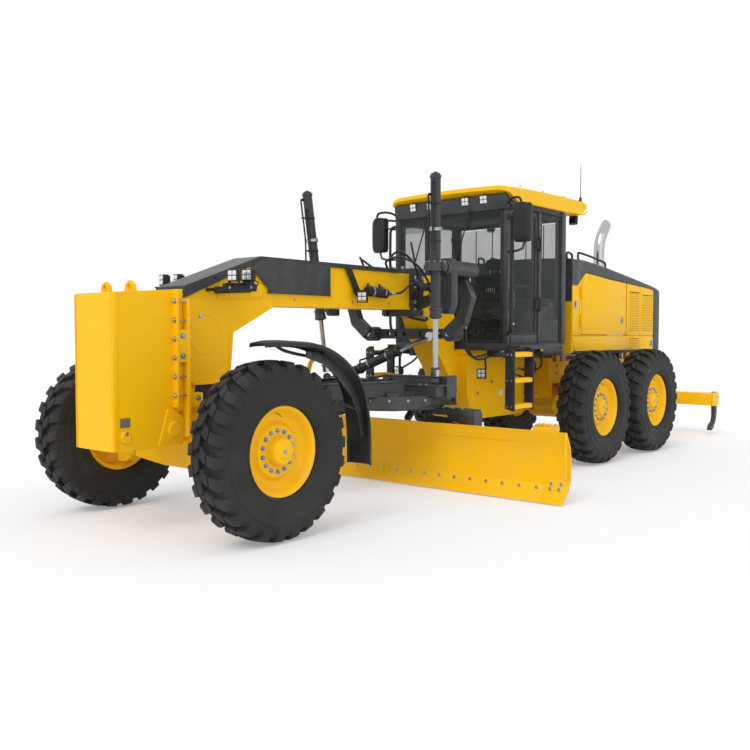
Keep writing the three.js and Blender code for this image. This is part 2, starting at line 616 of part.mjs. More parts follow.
// The steering knuckle with its spindle, arm and the fender's bracket.
const spindleEnd = frontWheelX + hubBack - gap;
const guard = tyreDiameter / 1390; // the fender grows with the tyre
const fenderX = [985, 1250];
function knuckle(name, side) {
  const post = cut(disc("z", [kingpinX, 0, kingpinZ], 56, 318, 20),
    bore("z", [kingpinX, 0, kingpinZ], kingpinRadius - 10 + gap, 400, 16));
  const spindle = bar([kingpinX + 45, 0, wheelZ], [spindleEnd, 0, wheelZ], 75, 90, 24);
  const arm = plate("z", rounded([[kingpinX - 30, 30], [kingpinX + 40, 30], [kingpinX + 20, 230],
    [kingpinX - 30, 230]], 25), kingpinZ - 120, kingpinZ - 80);
  const bracket = tube([
    [kingpinX - 5, 48, kingpinZ - 30], [kingpinX - 14, 200, kingpinZ - 30],
    [kingpinX - 34, 380 * guard, kingpinZ + 40], [kingpinX - 40, 560 * guard, wheelZ + 265 * guard],
    [kingpinX - 36, 640 * guard, wheelZ + 605 * guard], [kingpinX + 50, 612 * guard, wheelZ + 701 * guard],
    [fenderX[0] + 60, 600 * guard, wheelZ + 705 * guard]], 20, 12, 6);
  const body = join(post, spindle, arm, cut(bracket, strip("x", fenderLine, 14 + 2 * gap, ...fenderX)));
  add(name, side > 0 ? body : mirrored(body), yellow);
}

// A bent fender over the rear of a front tyre.
const fenderLine = [[-181, 829], [112, 835], [420, 805], [700, 675], [927, 458], [1040, 155],
  [1068, -200]].map(([y, up]) => [y * guard, wheelZ + up * guard]);
function fender(name, side) {
  const sheet = strip("x", fenderLine, 14, fenderX[0], fenderX[1]);
  const lips = strip("x", fenderLine, 40, fenderX[1] - 10, fenderX[1]);
  const body = join(sheet, lips);
  add(name, side > 0 ? body : mirrored(body), black);
}

frontFrame();
beamCover();
pushBlock();
frontAxle();
leanBar();
for (const [side, hand] of [[1, "left"], [-1, "right"]]) {
  leanBracket(`lean_bracket_${hand}`, side);
  knuckle(`knuckle_${hand}`, side);
  fender(`fender_${hand}`, side);
}

// ---- saddle, lift cylinders and side-shift cylinder ----
const saddleY = 2950;
const lockBarY = 3150;
const lockBarZ = 1590;
const yokeX = 823;
const yokeY = 2440;
const yokeZ = 2250;
const eyeX = 752; // the ball that each lift rod stands on
const eyeY = 2540;
const eyeZ = 1110;
const yokePin = 42;
function saddle() {
  const top = cut(box(-beamHalf - 60, beamHalf + 60, saddleY - 90, saddleY + 90, 1790, frameTopZ + 60),
    box(-beamHalf - gap, beamHalf + gap, saddleY - 200, saddleY + 200, 1857, frameTopZ + gap),
    plate("x", [[2700, 1700], [3300, 1700], [3300, 1857.6], [2700, 1857.6]],
      -beamHalf - 0.1, beamHalf + 0.1));
  const under = box(-beamHalf - 60, beamHalf + 60, saddleY - 60, saddleY + 60, 1780, 1850);
  const arm = strip("y", [[beamHalf + 30, 1900], [430, 1960], [640, 2170], [eyeX - 10, yokeZ]], 110,
    saddleY - 45, saddleY + 45);
  const leg = strip("y", [[690, 2210], [815, 1960], [735, 1730], [560, lockBarZ]], 130,
    lockBarY - 160, lockBarY - 70);
  const boss = bar([yokeX - 40, lockBarY - 60, yokeZ], [yokeX, yokeY + 117, yokeZ], 85, 78, 24);
  const pin = bar([yokeX, yokeY + 125, yokeZ], [yokeX, yokeY + 66, yokeZ], yokePin, yokePin, 20);
  const lugs = disc("y", [560, lockBarY - 40, lockBarZ], 75, 170, 20);
  const lockBar = box(-560, 560, lockBarY - 25, lockBarY + 25, lockBarZ - 55, lockBarZ + 55);
  const holes = [-3, -2, -1, 1, 2, 3].map((k) => disc("y", [k * 115, lockBarY, lockBarZ], 28, 80, 16));
  const stub = disc("y", [shiftEnd[0], lockBarY - 45, shiftEnd[2]], 30, 60, 16);
  const half = join(arm, leg, boss, pin, lugs);
  add("saddle", join(top, under, half, mirrored(half), cut(lockBar, holes), stub), charcoal);
}

// The yoke that swings on the saddle's fore-and-aft pin and carries a lift cylinder.
const barrelRadius = 52;
function yoke(name, side) {
  const plateRing = ring("z", [yokeX, yokeY, yokeZ], 110, barrelRadius + 24, 90, 28);
  const boss = disc("y", [yokeX, yokeY + 100 - 20, yokeZ], 68, 50, 20);
  const bridge = box(yokeX - 50, yokeX + 50, yokeY + 74, yokeY + 104, yokeZ - 44, yokeZ + 44);
  const trunnions = [-1, 1].map((s) => disc("x",
    [yokeX + s * (barrelRadius + 24), yokeY, yokeZ], 22, 40, 16));
  const hollow = cut(join(plateRing, boss, bridge),
    bore("z", [yokeX, yokeY, yokeZ], barrelRadius + 16, 300, 28),
    boreAlong([yokeX, yokeY + 130, yokeZ], [yokeX, yokeY + 51, yokeZ], yokePin + gap, 20));
  const body = join(hollow, trunnions);
  add(name, side > 0 ? body : mirrored(body), charcoal);
}

const liftDown = new THREE.Vector3(eyeX - yokeX, eyeY - yokeY, eyeZ - yokeZ).normalize();
const liftAt = (s) => new THREE.Vector3(yokeX, yokeY, yokeZ).addScaledVector(liftDown, s).toArray();
const liftReach = new THREE.Vector3(eyeX - yokeX, eyeY - yokeY, eyeZ - yokeZ).length();
const liftTop = 885; // how far the barrel stands above its yoke
const liftLow = 500; // and how far it hangs below
const liftRodRadius = 26;
function liftCylinder(side, hand) {
  const barrel = cut(bar(liftAt(-liftTop), liftAt(liftLow), barrelRadius, barrelRadius, 24),
    boreAlong(liftAt(-liftTop + 60), liftAt(liftLow + 5), liftRodRadius + gap, 16));
  const collar = cut(bar(liftAt(liftLow - 70), liftAt(liftLow), barrelRadius + 8, barrelRadius + 8, 24),
    boreAlong(liftAt(liftLow - 100), liftAt(liftLow + 5), liftRodRadius + gap, 16));
  const clamp = cut(bar(liftAt(-390), liftAt(-350), barrelRadius + 10, barrelRadius + 10, 24),
    bar(liftAt(-400), liftAt(-340), barrelRadius - 5, barrelRadius - 5, 24));
  const sockets = [-1, 1].map((s) => disc("x", [yokeX + s * (barrelRadius + 1), yokeY, yokeZ], 34, 24, 20));
  const trunnionHole = [-1, 1].map((s) =>
    bore("x", [yokeX + s * (barrelRadius + 30), yokeY, yokeZ], 22 + gap, 60, 16));
  const body = cut(join(barrel, collar, clamp, sockets), trunnionHole);
  add(`lift_barrel_${hand}`, side > 0 ? body : mirrored(body), charcoal);
  const rod = bar(liftAt(80), liftAt(liftReach - ballRadius - ballRoom - 20),
    liftRodRadius, liftRodRadius, 16);
  const ballRim = liftReach - ballRadius - ballRoom;
  const foot = bar(liftAt(ballRim - 70), liftAt(ballRim), 46, 46, 20);
  const whole = join(rod, foot);
  add(`lift_rod_${hand}`, side > 0 ? whole : mirrored(whole), chrome);
}

const ballRadius = 45;
const ballRoom = 10; // between a lift rod's foot and its ball
const shiftBase = [-500, 2760, 1185];
const shiftEnd = [350, 2985, 1560];

// ---- drawbar and circle ----
const drawbarLowZ = 962;
const crossHalf = 830;
function drawbarBall() {
  const barrel = disc("z", [0, ballY, ballZ], 60, 124, 24);
  const pin = disc("x", [0, ballY, ballZ], 25, 210, 16);
  add("drawbar_ball", join(barrel, pin), steel);
}

function drawbar() {
  const cheek = (s) => cut(join(
    disc("x", [s * 84, ballY, ballZ], 52, 36, 20),
    plate("x", [
      [ballY, ballZ - 52], [ballY + 260, ballZ - 60], [ballY + 260, ballZ + 75], [ballY, ballZ + 52]],
      s * 84 - 18, s * 84 + 18)), bore("x", [s * 84, ballY, ballZ], 25 + gap, 60, 16));
  const head = box(-104, 104, ballY + 130, ballY + 300, ballZ - 58, ballZ + 76);
  const arm = intersect(strip("z", [[60, ballY + 230], [150, 1500], [480, 2330]], 110, 880, 1120),
    plate("x", [[ballY + 100, ballZ - 55], [1500, 935], [circleY - circleRadius - 70, drawbarLowZ],
      [2500, drawbarLowZ], [2500, 1100], [1500, 1090],
      [ballY + 100, ballZ + 76]], -900, 900));
  const cross = box(-crossHalf, crossHalf, 2450, 2630, drawbarLowZ, 1064);
  const table = disc("z", [0, circleY, drawbarLowZ + 20], 600, 40, 40);
  const keepers = [[-1, -1], [1, -1], [1, 1], [-1, 1]].map(([sx, sy]) => {
    const angle = Math.atan2(sy, sx);
    const at = (r) => [r * Math.cos(angle), circleY + r * Math.sin(angle)];
    const [ax, ay] = at(circleRadius + 36);
    const top = strip("z", [at(500), at(circleRadius + 60)], 120, drawbarLowZ, drawbarLowZ + 40);
    const down = disc("z", [ax, ay, 925], 26, 150, 16);
    const hook = strip("z", [at(circleRadius - 60), at(circleRadius + 60)], 90, 822, 850);
    return join(top, down, hook);
  });
  const motor = join(box(-130, 130, 2960, 3130, drawbarLowZ + 30, 1090),
    disc("z", [0, 3040, 1090], 75, 50, 20));
  const balls = both(join(
    disc("z", [eyeX, eyeY, 1070], 30, 40, 16),
    solid(new THREE.SphereGeometry(ballRadius, 12, 8).rotateX(Math.PI / 2).translate(eyeX, eyeY, eyeZ))));
  const [sx, sy, sz] = shiftBase;
  const post = join(box(sx - 45, sx + 45, 2600, 2705, drawbarLowZ + 5, sz + 30),
    disc("y", [sx, 2685, sz], 45, 40, 20), disc("y", [sx, sy - 20, sz], 24, 110, 16));
  add("drawbar", join(cheek(1), cheek(-1), head, arm, mirrored(arm), cross, table, keepers, motor,
    balls, post), charcoal);
}

const circleLowZ = 870;
const armTopZ = 812; // top of the beams that carry the legs
const circleTopZ = drawbarLowZ - gap;
const armX = 985; // the circle's legs, beside the blade's carrier
const tipY = 2920; // the tube that the blade tips about
const tipZ = 400;
const tipCylinderBase = [0, circleY + circleRadius - 180, 800];
const tipCylinderEnd = [0, 2970, 585];
function circle() {
  const body = ring("z", [0, circleY, (circleLowZ + circleTopZ) / 2], circleRadius, circleRadius - 130,
    circleTopZ - circleLowZ, 48);
  const teeth = ring("z", [0, circleY, circleLowZ + 25], circleRadius - 120, circleRadius - 150, 50, 48);
  const beam = box(-armX - 20, armX + 20, 2866, 2990, armTopZ - 70, armTopZ);
  const hangers = ring("z", [0, circleY, (armTopZ + circleLowZ) / 2], circleRadius - 68, circleRadius - 128,
    circleLowZ - armTopZ + 20, 48).intersect(box(-900, 900, 2866, 2990, armTopZ - 12, circleLowZ + 12));
  const middle = join(cut(beam, box(-400, 400, 2800, 3020, 700, 900)), hangers);
  const legs = both(join(
    plate("x", rounded([[2866, armTopZ], [3010, armTopZ], [3010, 700], [2990, tipZ - 60], [2880, tipZ - 60],
      [2870, 560]], 40), armX - 20, armX + 20), disc("x", [armX, tipY, tipZ], 78, 40, 24)));
  const holes = both(bore("x", [armX, tipY, tipZ], 45 + gap, 90, 24));
  const [, by, bz] = tipCylinderBase;
  const lug = [-1, 1].map((s) => plate("x", rounded([
    [by - 40, circleLowZ + 20], [by + 130, circleLowZ + 20],
    [by + 60, bz - 40], [by - 40, bz - 40]], 20), s * 58 - 12, s * 58 + 12));
  const pin = disc("x", [0, by, bz], 22, 138, 16);
  add("circle", cut(join(body, teeth, middle, legs, lug, pin), holes), charcoal);
}

// The carrier that tips on the circle's legs and holds the blade's rails.
const railBackY = 2830;
const lowRail = [185, 235];
const highRail = [560, 605];
function bladeCarrier() {
  const shaft = disc("x", [0, tipY, tipZ], 45, 2 * (armX + 20), 24);
  const cheek = (x) => plate("x", rounded([
    [railBackY + gap, lowRail[0] - 20], [tipY + 40, tipZ - 90], [tipY + 60, tipZ + 60],
    [railBackY + 60, highRail[1] + 25], [railBackY + gap, highRail[1] + 25]], 12, 2), x - 30, x + 30);
  const hooks = (x) => [
    box(x - 50, x + 50, railBackY - 22, railBackY + 30, highRail[1] + gap, highRail[1] + 30),
    box(x - 50, x + 50, railBackY - 22, railBackY + 30, lowRail[0] - 30, lowRail[0] - gap)];
  const [, ey, ez] = tipCylinderEnd;
  const lugs = [-1, 1].map((s) => plate("x", rounded([[tipY - 20, tipZ + 20], [tipY + 50, tipZ + 10],
    [ey + 32, ez + 32], [ey - 32, ez + 32]], 20), s * 52 - 12, s * 52 + 12));
  add("blade_carrier", join(shaft, cheek(620), cheek(-620), hooks(620), hooks(-620), lugs,
    disc("x", [0, ey, ez], 22, 126, 16)), charcoal);
}

// The curved blade with its rails, end plates and cutting edge.
function blade() {
  const half = bladeLength / 2;
  const face = [[2688, 674], [2758, 540], [2784, 408], [2780, 216], [2732, 109], [2640, 34]];
  const back = face.map(([y, z], i) => [y + 22 - i * 1, z + (i > 3 ? 12 : 2)]).reverse();
  const sheet = plate("x", [...face, [2622, 14], [2650, 14], ...back], -half, half);
  const railHalf = half - 635;
  const rails = [
    plate("x", [[2738, highRail[0]], [railBackY, highRail[0]],
      [railBackY, highRail[1]], [2730, highRail[1]]], -railHalf, railHalf),
    plate("x", [[2780, lowRail[0]], [railBackY, lowRail[0]],
      [railBackY, lowRail[1]], [2790, lowRail[1]]], -railHalf, railHalf)];
  const bracket = box(half - 355, half - 175, 2700, 2890, 660, 706);
  add("blade", join(sheet, rails, bracket), yellow);
}

saddle();
yoke("yoke_left", 1);
yoke("yoke_right", -1);
liftCylinder(1, "left");
liftCylinder(-1, "right");
drawbarBall();
drawbar();
circle();
bladeCarrier();
blade();
barrelAndRod(["tip_cylinder", "tip_rod"], tipCylinderBase, tipCylinderEnd,
  { radius: 42, rodRadius: 20, share: 0.7, eye: 22, width: 78, rodStart: 82, slack: 17 });

// The side-shift cylinder across the machine, between the drawbar and the lock bar.
function shiftCylinder() {
  const a = new THREE.Vector3(...shiftBase);
  const b = new THREE.Vector3(...shiftEnd);
  const along = b.clone().sub(a).normalize();
  const at = (s) => a.clone().addScaledVector(along, s).toArray();
  const length = b.distanceTo(a);
  const pinClear = bore("y", shiftBase, 24 + gap, 200, 16);
  const eye = disc("y", shiftBase, 52, 56, 20);
  const shell = cut(bar(at(30), at(560), 50, 50, 24), boreAlong(at(62), at(565), 26 + gap, 16));
  add("shift_cylinder", cut(join(shell, eye), pinClear), charcoal);
  const rod = bar(at(310), at(length - 40), 26, 26, 16);
  const rodEye = disc("y", shiftEnd, 52, 50, 20);
  add("shift_rod", join(rod, rodEye), chrome);
}
shiftCylinder();

// ---- cab ----
const doorFrontCabY = cabFrontY + 60;
const doorRearCabY = 4470;
const cabDoorLowZ = cabFloorZ + gap + 1;
const cabDoorTopZ = cabRoofZ - 70;
const roofHalf = 830;
const postWide = 70;
const cabHingeY = doorRearCabY + 20;
const cabHinges = [[1850, 2010], [2550, 2710]];

// The floor and the walls below the glass, with a ladder below each door.
function cabFloor() {
  const floor = box(-cabHalf, cabHalf, cabFrontY, cabRearY, cabBaseZ, cabFloorZ);
  const ladder = [3560, 3960].map((y) => plate("y", rounded([
    [cabHalf + 150, 800], [cabHalf + 250, 760], [cabHalf + 250, 1400], [cabHalf + 150, 1400]], 20),
  y - 12, y + 12));
  const steps = [794, 1079, 1356].map((z) =>
    box(cabHalf + 155, cabHalf + 250, 3560, 3960, z - 22, z + 22));
  const shelf = box(cabHalf - 100, cabHalf + 160, 3840, 4600, cabBaseZ + 5, cabFloorZ - 10);
  const strut = box(cabHalf + 120, cabHalf + 160, 3540, 3980, 1330, 1378);
  const strutFoot = box(cabHalf + 60, cabHalf + 160, 3860, 3980, 1330, cabBaseZ + 30);
  const side = join(ladder[0], ladder[1], steps, shelf, strut, strutFoot);
  add("cab_floor", join(floor, side, mirrored(side)), charcoal);
}

// The frame of posts and rails, with its window openings cut.
function cabFrame() {
  const low = cabFloorZ + gap;
  const outer = box(-cabHalf, cabHalf, cabFrontY, cabRearY, low, cabRoofZ);
  const inner = box(-cabHalf + cabWall, cabHalf - cabWall, cabFrontY + cabWall, cabRearY - cabWall,
    low - 10, cabRoofZ - 60);
  const hatch = box(-cabHalf + 150, cabHalf - 150, cabFrontY + 150, cabRearY - 150, low, cabRoofZ + 10);
  const windshield = [
    box(-cabHalf + postWide, cabHalf - postWide, cabFrontY - 10, cabFrontY + 100, low + 60, cabRoofZ - 110)];
  const rearWindow = box(-cabHalf + postWide, cabHalf - postWide, cabRearY - 100, cabRearY + 10,
    2000, cabRoofZ - 110);
  const doorways = box(-cabHalf - 10, cabHalf + 10, doorFrontCabY - runGap, doorRearCabY + runGap,
    low - 10, cabDoorTopZ + runGap);
  const sides = box(-cabHalf - 10, cabHalf + 10, doorRearCabY + 100, cabRearY - 130, 1760, cabRoofZ - 110);
  const hinges = cabHinges.flatMap(([low, high]) => both(hingePin(cabHalf, cabHingeY, low, high)));
  const mirrors = both(join(
    tube([[cabHalf - 20, cabFrontY + 25, 2960], [930, cabFrontY - 20, 2980],
      [mirrorX, cabFrontY - 30, 2960],
      [mirrorX, cabFrontY - 30, 2840]], 14, 7, 6),
    tube([[cabHalf - 20, cabFrontY + 25, 2500], [920, cabFrontY - 20, 2500],
      [mirrorX, cabFrontY - 30, 2530],
      [mirrorX, cabFrontY - 30, 2700]], 14, 7, 6),
    plate("y", rounded([[mirrorX - 95, 2590], [mirrorX + 95, 2590], [mirrorX + 95, 3010],
      [mirrorX - 95, 3010]], 45), cabFrontY - 55, cabFrontY - 5)));
  add("cab_frame", join(cut(outer, inner, hatch, windshield, rearWindow, doorways, sides), hinges, mirrors),
    charcoal);
}
const mirrorX = 1010;

function cabRoof() {
  const low = cabRoofZ + gap;
  const cap = plate("x", rounded([
    [cabFrontY - 75, 3195], [cabFrontY + 150, low], [5560, low], [5650, low + 70], [5660, 3262],
    [5560, 3275], [4200, 3260], [cabFrontY - 75, 3232]], 8), -roofHalf, roofHalf);
  const antenna = bar([roofHalf - 20, 5480, 3250], [roofHalf - 20, 5480, 3700], 5, 3, 12);
  const lamps = [-500, -250, 250, 500].map((x) =>
    box(x - 50, x + 50, cabFrontY - 40, cabFrontY + 60, low + 15, low + 115));
  add("cab_roof", join(cap, antenna, lamps), yellow);
}

// A door hung on its rear edge, with one tall window.
function cabDoor(name, side) {
  const [low, high] = [cabDoorLowZ, cabDoorTopZ];
  const leaf = box(cabHalf - cabWall, cabHalf, doorFrontCabY, doorRearCabY, low, high);
  const opening = box(cabHalf - 100, cabHalf + 20, doorFrontCabY + 55, doorRearCabY - 55,
    low + 120, high - 60);
  const knuckles = cabHinges.map(([low, high]) => hingeKnuckle(cabHalf, cabHingeY, low, high, -60));
  const handle = box(cabHalf - 5, cabHalf + 35, doorFrontCabY + 10, doorFrontCabY + 40, 1850, 2060);
  const body = join(cut(leaf, opening), knuckles, handle);
  add(name, side > 0 ? body : mirrored(body), charcoal);
}

function seat() {
  const y = 4480;
  const low = cabFloorZ + gap;
  const base = box(-190, 190, y - 200, y + 200, low, low + 250);
  const cushion = box(-260, 260, y - 250, y + 250, low + 245, low + 400);
  const back = plate("x", rounded([[y + 170, low + 300], [y + 290, low + 300], [y + 380, low + 1050],
    [y + 270, low + 1060]], 40), -250, 250);
  const rests = both(box(265, 345, y - 180, y + 230, low + 540, low + 600));
  const links = both(box(235, 330, y + 180, y + 230, low + 360, low + 590));
  add("seat", join(base, cushion, back, rests, links), black);
}

function steeringConsole() {
  const low = cabFloorZ + gap;
  const column = plate("x", rounded([[3960, low], [4120, low], [4180, low + 560], [4080, low + 600]], 20),
    -90, 90);
  const wheel = ring("z", [0, 0, 0], 190, 160, 26, 28);
  const spoke = join(box(-170, 170, -18, 18, -10, 10), disc("z", [0, 0, 0], 45, 40, 16));
  const turnedWheel = join(wheel, spoke).rotate([-28, 0, 0]).translate([0, 4150, low + 650]);
  const neck = bar([0, 4125, low + 560], [0, 4150, low + 655], 28, 28, 16);
  add("steering_console", join(column, neck, turnedWheel), black);
}

cabFloor();
cabFrame();
cabRoof();
cabDoor("cab_door_left", 1);
cabDoor("cab_door_right", -1);
seat();
steeringConsole();

// The plan's middle lies between the push block's face and the shanks' backs.
const rearmostY = ripperY + shankReach;
machine.position.y = -(blockFrontY + rearmostY) / 2;
export default machine;
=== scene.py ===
# Looks for the motor grader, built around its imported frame. Metres, +Z up, front towards -Y.
from math import cos, pi, radians, sin

import bmesh
import bpy
from mathutils import Matrix, Vector


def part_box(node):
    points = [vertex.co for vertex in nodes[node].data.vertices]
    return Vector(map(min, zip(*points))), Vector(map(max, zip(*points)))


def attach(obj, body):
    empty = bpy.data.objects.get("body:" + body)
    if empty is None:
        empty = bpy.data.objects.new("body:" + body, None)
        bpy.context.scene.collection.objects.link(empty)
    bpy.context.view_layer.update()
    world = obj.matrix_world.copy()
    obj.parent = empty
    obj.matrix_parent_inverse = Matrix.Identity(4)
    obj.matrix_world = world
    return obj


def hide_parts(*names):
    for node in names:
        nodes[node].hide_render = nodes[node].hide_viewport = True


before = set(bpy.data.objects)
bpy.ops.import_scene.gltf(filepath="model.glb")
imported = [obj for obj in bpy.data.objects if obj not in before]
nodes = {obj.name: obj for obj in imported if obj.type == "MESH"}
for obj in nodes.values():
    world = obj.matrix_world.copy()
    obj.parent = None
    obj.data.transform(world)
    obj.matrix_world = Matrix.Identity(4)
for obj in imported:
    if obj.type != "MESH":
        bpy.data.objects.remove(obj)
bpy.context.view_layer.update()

scene = bpy.context.scene
scene.view_settings.view_transform = "Standard"


def middleOf(node):
    low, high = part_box(node)
    return (low + high) / 2


axleY = middleOf("tyre_front_left").y  # every y below is measured back from the front axle
wheelZ = middleOf("tyre_front_left").z
hands = {"left": 1, "right": -1}

# ---- camera, lamps and floor ----
studio = {
    "cameraPlace": (6.026, -4.588, 1.58),  # x, y behind the front axle, z
    "cameraTurn": 40.43,  # degrees about the vertical
    "cameraDip": 2.625,  # degrees below the horizon
    "lens": 42.24,
    "worldStrength": 0.84,
    "keyStrength": 1.05,
    "fillStrength": 0.35,
    "floorHalf": 60,
    "floorClear": (5.6, 8.5),  # how far out the floor's shading fades to white
}


def addCamera():
    data = bpy.data.cameras.new("camera")
    data.lens = studio["lens"]
    camera = bpy.data.objects.new("camera", data)
    scene.collection.objects.link(camera)
    x, y, z = studio["cameraPlace"]
    camera.location = (x, axleY + y, z)
    camera.rotation_euler = (radians(90 - studio["cameraDip"]), 0, radians(studio["cameraTurn"]))
    scene.camera = camera


def addSun(name, strength, softness, dip, turn):
    data = bpy.data.lights.new(name, "SUN")
    data.energy = strength
    data.angle = radians(softness)
    sun = bpy.data.objects.new(name, data)
    scene.collection.objects.link(sun)
    sun.rotation_euler = (radians(90 - dip), 0, radians(turn))


def seenDirectly(tree):
    # one where the camera, a mirror image or a view through glass meets the surface
    path = tree.nodes.new("ShaderNodeLightPath")
    first = tree.nodes.new("ShaderNodeMath")
    first.operation = "MAXIMUM"
    second = tree.nodes.new("ShaderNodeMath")
    second.operation = "MAXIMUM"
    tree.links.new(path.outputs["Is Camera Ray"], first.inputs[0])
    tree.links.new(path.outputs["Is Glossy Ray"], first.inputs[1])
    tree.links.new(first.outputs[0], second.inputs[0])
    tree.links.new(path.outputs["Is Transmission Ray"], second.inputs[1])
    return second.outputs[0]


def makeWorld():
    world = bpy.data.worlds.new("studio")
    scene.world = world
    world.use_nodes = True
    tree = world.node_tree
    tree.nodes.clear()
    lit = tree.nodes.new("ShaderNodeBackground")
    lit.inputs["Color"].default_value = (0.96, 0.98, 1, 1)
    lit.inputs["Strength"].default_value = studio["worldStrength"]
    shown = tree.nodes.new("ShaderNodeBackground")
    shown.inputs["Color"].default_value = (1, 1, 1, 1)
    shown.inputs["Strength"].default_value = 1
    mix = tree.nodes.new("ShaderNodeMixShader")
    out = tree.nodes.new("ShaderNodeOutputWorld")
    tree.links.new(seenDirectly(tree), mix.inputs[0])
    tree.links.new(lit.outputs[0], mix.inputs[1])
    tree.links.new(shown.outputs[0], mix.inputs[2])
    tree.links.new(mix.outputs[0], out.inputs["Surface"])


def addFloor():
    half = studio["floorHalf"]
    mesh = bpy.data.meshes.new("floor")
    mesh.from_pydata([(-half, -half, 0), (half, -half, 0), (half, half, 0), (-half, half, 0)], [],
                     [(0, 1, 2, 3)])
    floor = bpy.data.objects.new("floor", mesh)
    scene.collection.objects.link(floor)
    material = bpy.data.materials.new("floor_pale")
    material.use_nodes = True
    tree = material.node_tree
    tree.nodes.clear()
    spot = tree.nodes.new("ShaderNodeTexCoord")
    length = tree.nodes.new("ShaderNodeVectorMath")
    length.operation = "LENGTH"
    fade = tree.nodes.new("ShaderNodeMapRange")
    fade.interpolation_type = "SMOOTHSTEP"
    fade.inputs["From Min"].default_value, fade.inputs["From Max"].default_value = studio["floorClear"]
    fade.inputs["To Min"].default_value = 0.25
    shade = tree.nodes.new("ShaderNodeBsdfDiffuse")
    shade.inputs["Color"].default_value = (0.93, 0.93, 0.94, 1)
    glow = tree.nodes.new("ShaderNodeEmission")
    gate = tree.nodes.new("ShaderNodeMath")
    gate.operation = "MULTIPLY"
    mix = tree.nodes.new("ShaderNodeMixShader")
    out = tree.nodes.new("ShaderNodeOutputMaterial")
    tree.links.new(spot.outputs["Object"], length.inputs[0])
    tree.links.new(length.outputs["Value"], fade.inputs["Value"])
    tree.links.new(fade.outputs[0], gate.inputs[0])
    tree.links.new(seenDirectly(tree), gate.inputs[1])
    tree.links.new(gate.outputs[0], mix.inputs[0])
    tree.links.new(shade.outputs[0], mix.inputs[1])
    tree.links.new(glow.outputs[0], mix.inputs[2])
    tree.links.new(mix.outputs[0], out.inputs["Surface"])
    floor.data.materials.append(material)


addCamera()
makeWorld()
addSun("key_light", studio["keyStrength"], 35, 48, 12)
addSun("fill_light", studio["fillStrength"], 60, 25, 70)
addFloor()
print("studio ready")

# ---- finishes ----
def newGroup(name, inputs, outputs):
    group = bpy.data.node_groups.new(name, "ShaderNodeTree")
    for label, kind, value in inputs:
        socket = group.interface.new_socket(label, in_out="INPUT", socket_type=kind)
        socket.default_value = value
    for label, kind in outputs:
        group.interface.new_socket(label, in_out="OUTPUT", socket_type=kind)
    return group, group.nodes.new("NodeGroupInput"), group.nodes.new("NodeGroupOutput")


def feed(tree, value, socket):
    # a socket takes a plain value or another node's output
    if hasattr(value, "is_linked"):
        tree.links.new(value, socket)
    else:
        socket.default_value = value


def mixColour(tree, factor, first, second):
    mix = tree.nodes.new("ShaderNodeMix")
    mix.data_type = "RGBA"
    for label, value in (("Factor", factor), ("A", first), ("B", second)):
        feed(tree, value, mix.inputs[label])
    return mix.outputs["Result"]


def noiseAt(tree, vector, scale, detail=4.0):
    texture = tree.nodes.new("ShaderNodeTexNoise")
    for label, value in (("Detail", detail), ("Vector", vector), ("Scale", scale)):
        feed(tree, value, texture.inputs[label])
    return texture.outputs["Fac"]


def ramp(tree, value, low, high, floor=0.0, top=1.0):
    node = tree.nodes.new("ShaderNodeMapRange")
    for label, number in (("From Min", low), ("From Max", high), ("To Min", floor), ("To Max", top),
                          ("Value", value)):
        feed(tree, number, node.inputs[label])
    return node.outputs["Result"]


def calc(tree, operation, first, second):
    node = tree.nodes.new("ShaderNodeMath")
    node.operation = operation
    feed(tree, first, node.inputs[0])
    feed(tree, second, node.inputs[1])
    return node.outputs[0]


# Dust that lies thicker near the ground and in broad patches.
def makeDustGroup():
    group, source, sink = newGroup(
        "road_dust",
        [("Colour", "NodeSocketColor", (0.5, 0.5, 0.5, 1)), ("Dust", "NodeSocketColor", (0.42, 0.37, 0.3, 1)),
         ("Amount", "NodeSocketFloat", 0.3), ("Height", "NodeSocketFloat", 1.0)],
        [("Colour", "NodeSocketColor"), ("Mask", "NodeSocketFloat")])
    place = group.nodes.new("ShaderNodeTexCoord")
    split = group.nodes.new("ShaderNodeSeparateXYZ")
    group.links.new(place.outputs["Object"], split.inputs[0])
    low = ramp(group, split.outputs["Z"], source.outputs["Height"], 0.0)
    patches = ramp(group, noiseAt(group, place.outputs["Object"], 3.0, 6), 0.42, 0.72)
    mask = calc(group, "MULTIPLY", calc(group, "MULTIPLY", low, patches), source.outputs["Amount"])
    group.links.new(mixColour(group, mask, source.outputs["Colour"], source.outputs["Dust"]),
                    sink.inputs["Colour"])
    group.links.new(mask, sink.inputs["Mask"])
    return group


# Slight change of tone and gloss over a painted or moulded surface.
def makeToneGroup():
    group, source, sink = newGroup("tone_and_gloss", [("Colour", "NodeSocketColor", (0.5, 0.5, 0.5, 1)),
                                                      ("Shift", "NodeSocketFloat", 0.08),
                                                      ("Roughness", "NodeSocketFloat", 0.4),
                                                      ("Spread", "NodeSocketFloat", 0.1),
                                                      ("Scale", "NodeSocketFloat", 4.0)],
                                   [("Colour", "NodeSocketColor"), ("Roughness", "NodeSocketFloat")])
    place = group.nodes.new("ShaderNodeTexCoord")
    cloud = noiseAt(group, place.outputs["Object"], source.outputs["Scale"], 3)
    centred = calc(group, "SUBTRACT", cloud, 0.5)
    tone = group.nodes.new("ShaderNodeHueSaturation")
    group.links.new(source.outputs["Colour"], tone.inputs["Color"])
    group.links.new(calc(group, "ADD", calc(group, "MULTIPLY", centred, source.outputs["Shift"]), 1.0),
                    tone.inputs["Value"])
    group.links.new(tone.outputs[0], sink.inputs["Colour"])
    gloss = calc(group, "MULTIPLY", centred, source.outputs["Spread"])
    group.links.new(calc(group, "ADD", gloss, source.outputs["Roughness"]), sink.inputs["Roughness"])
    return group


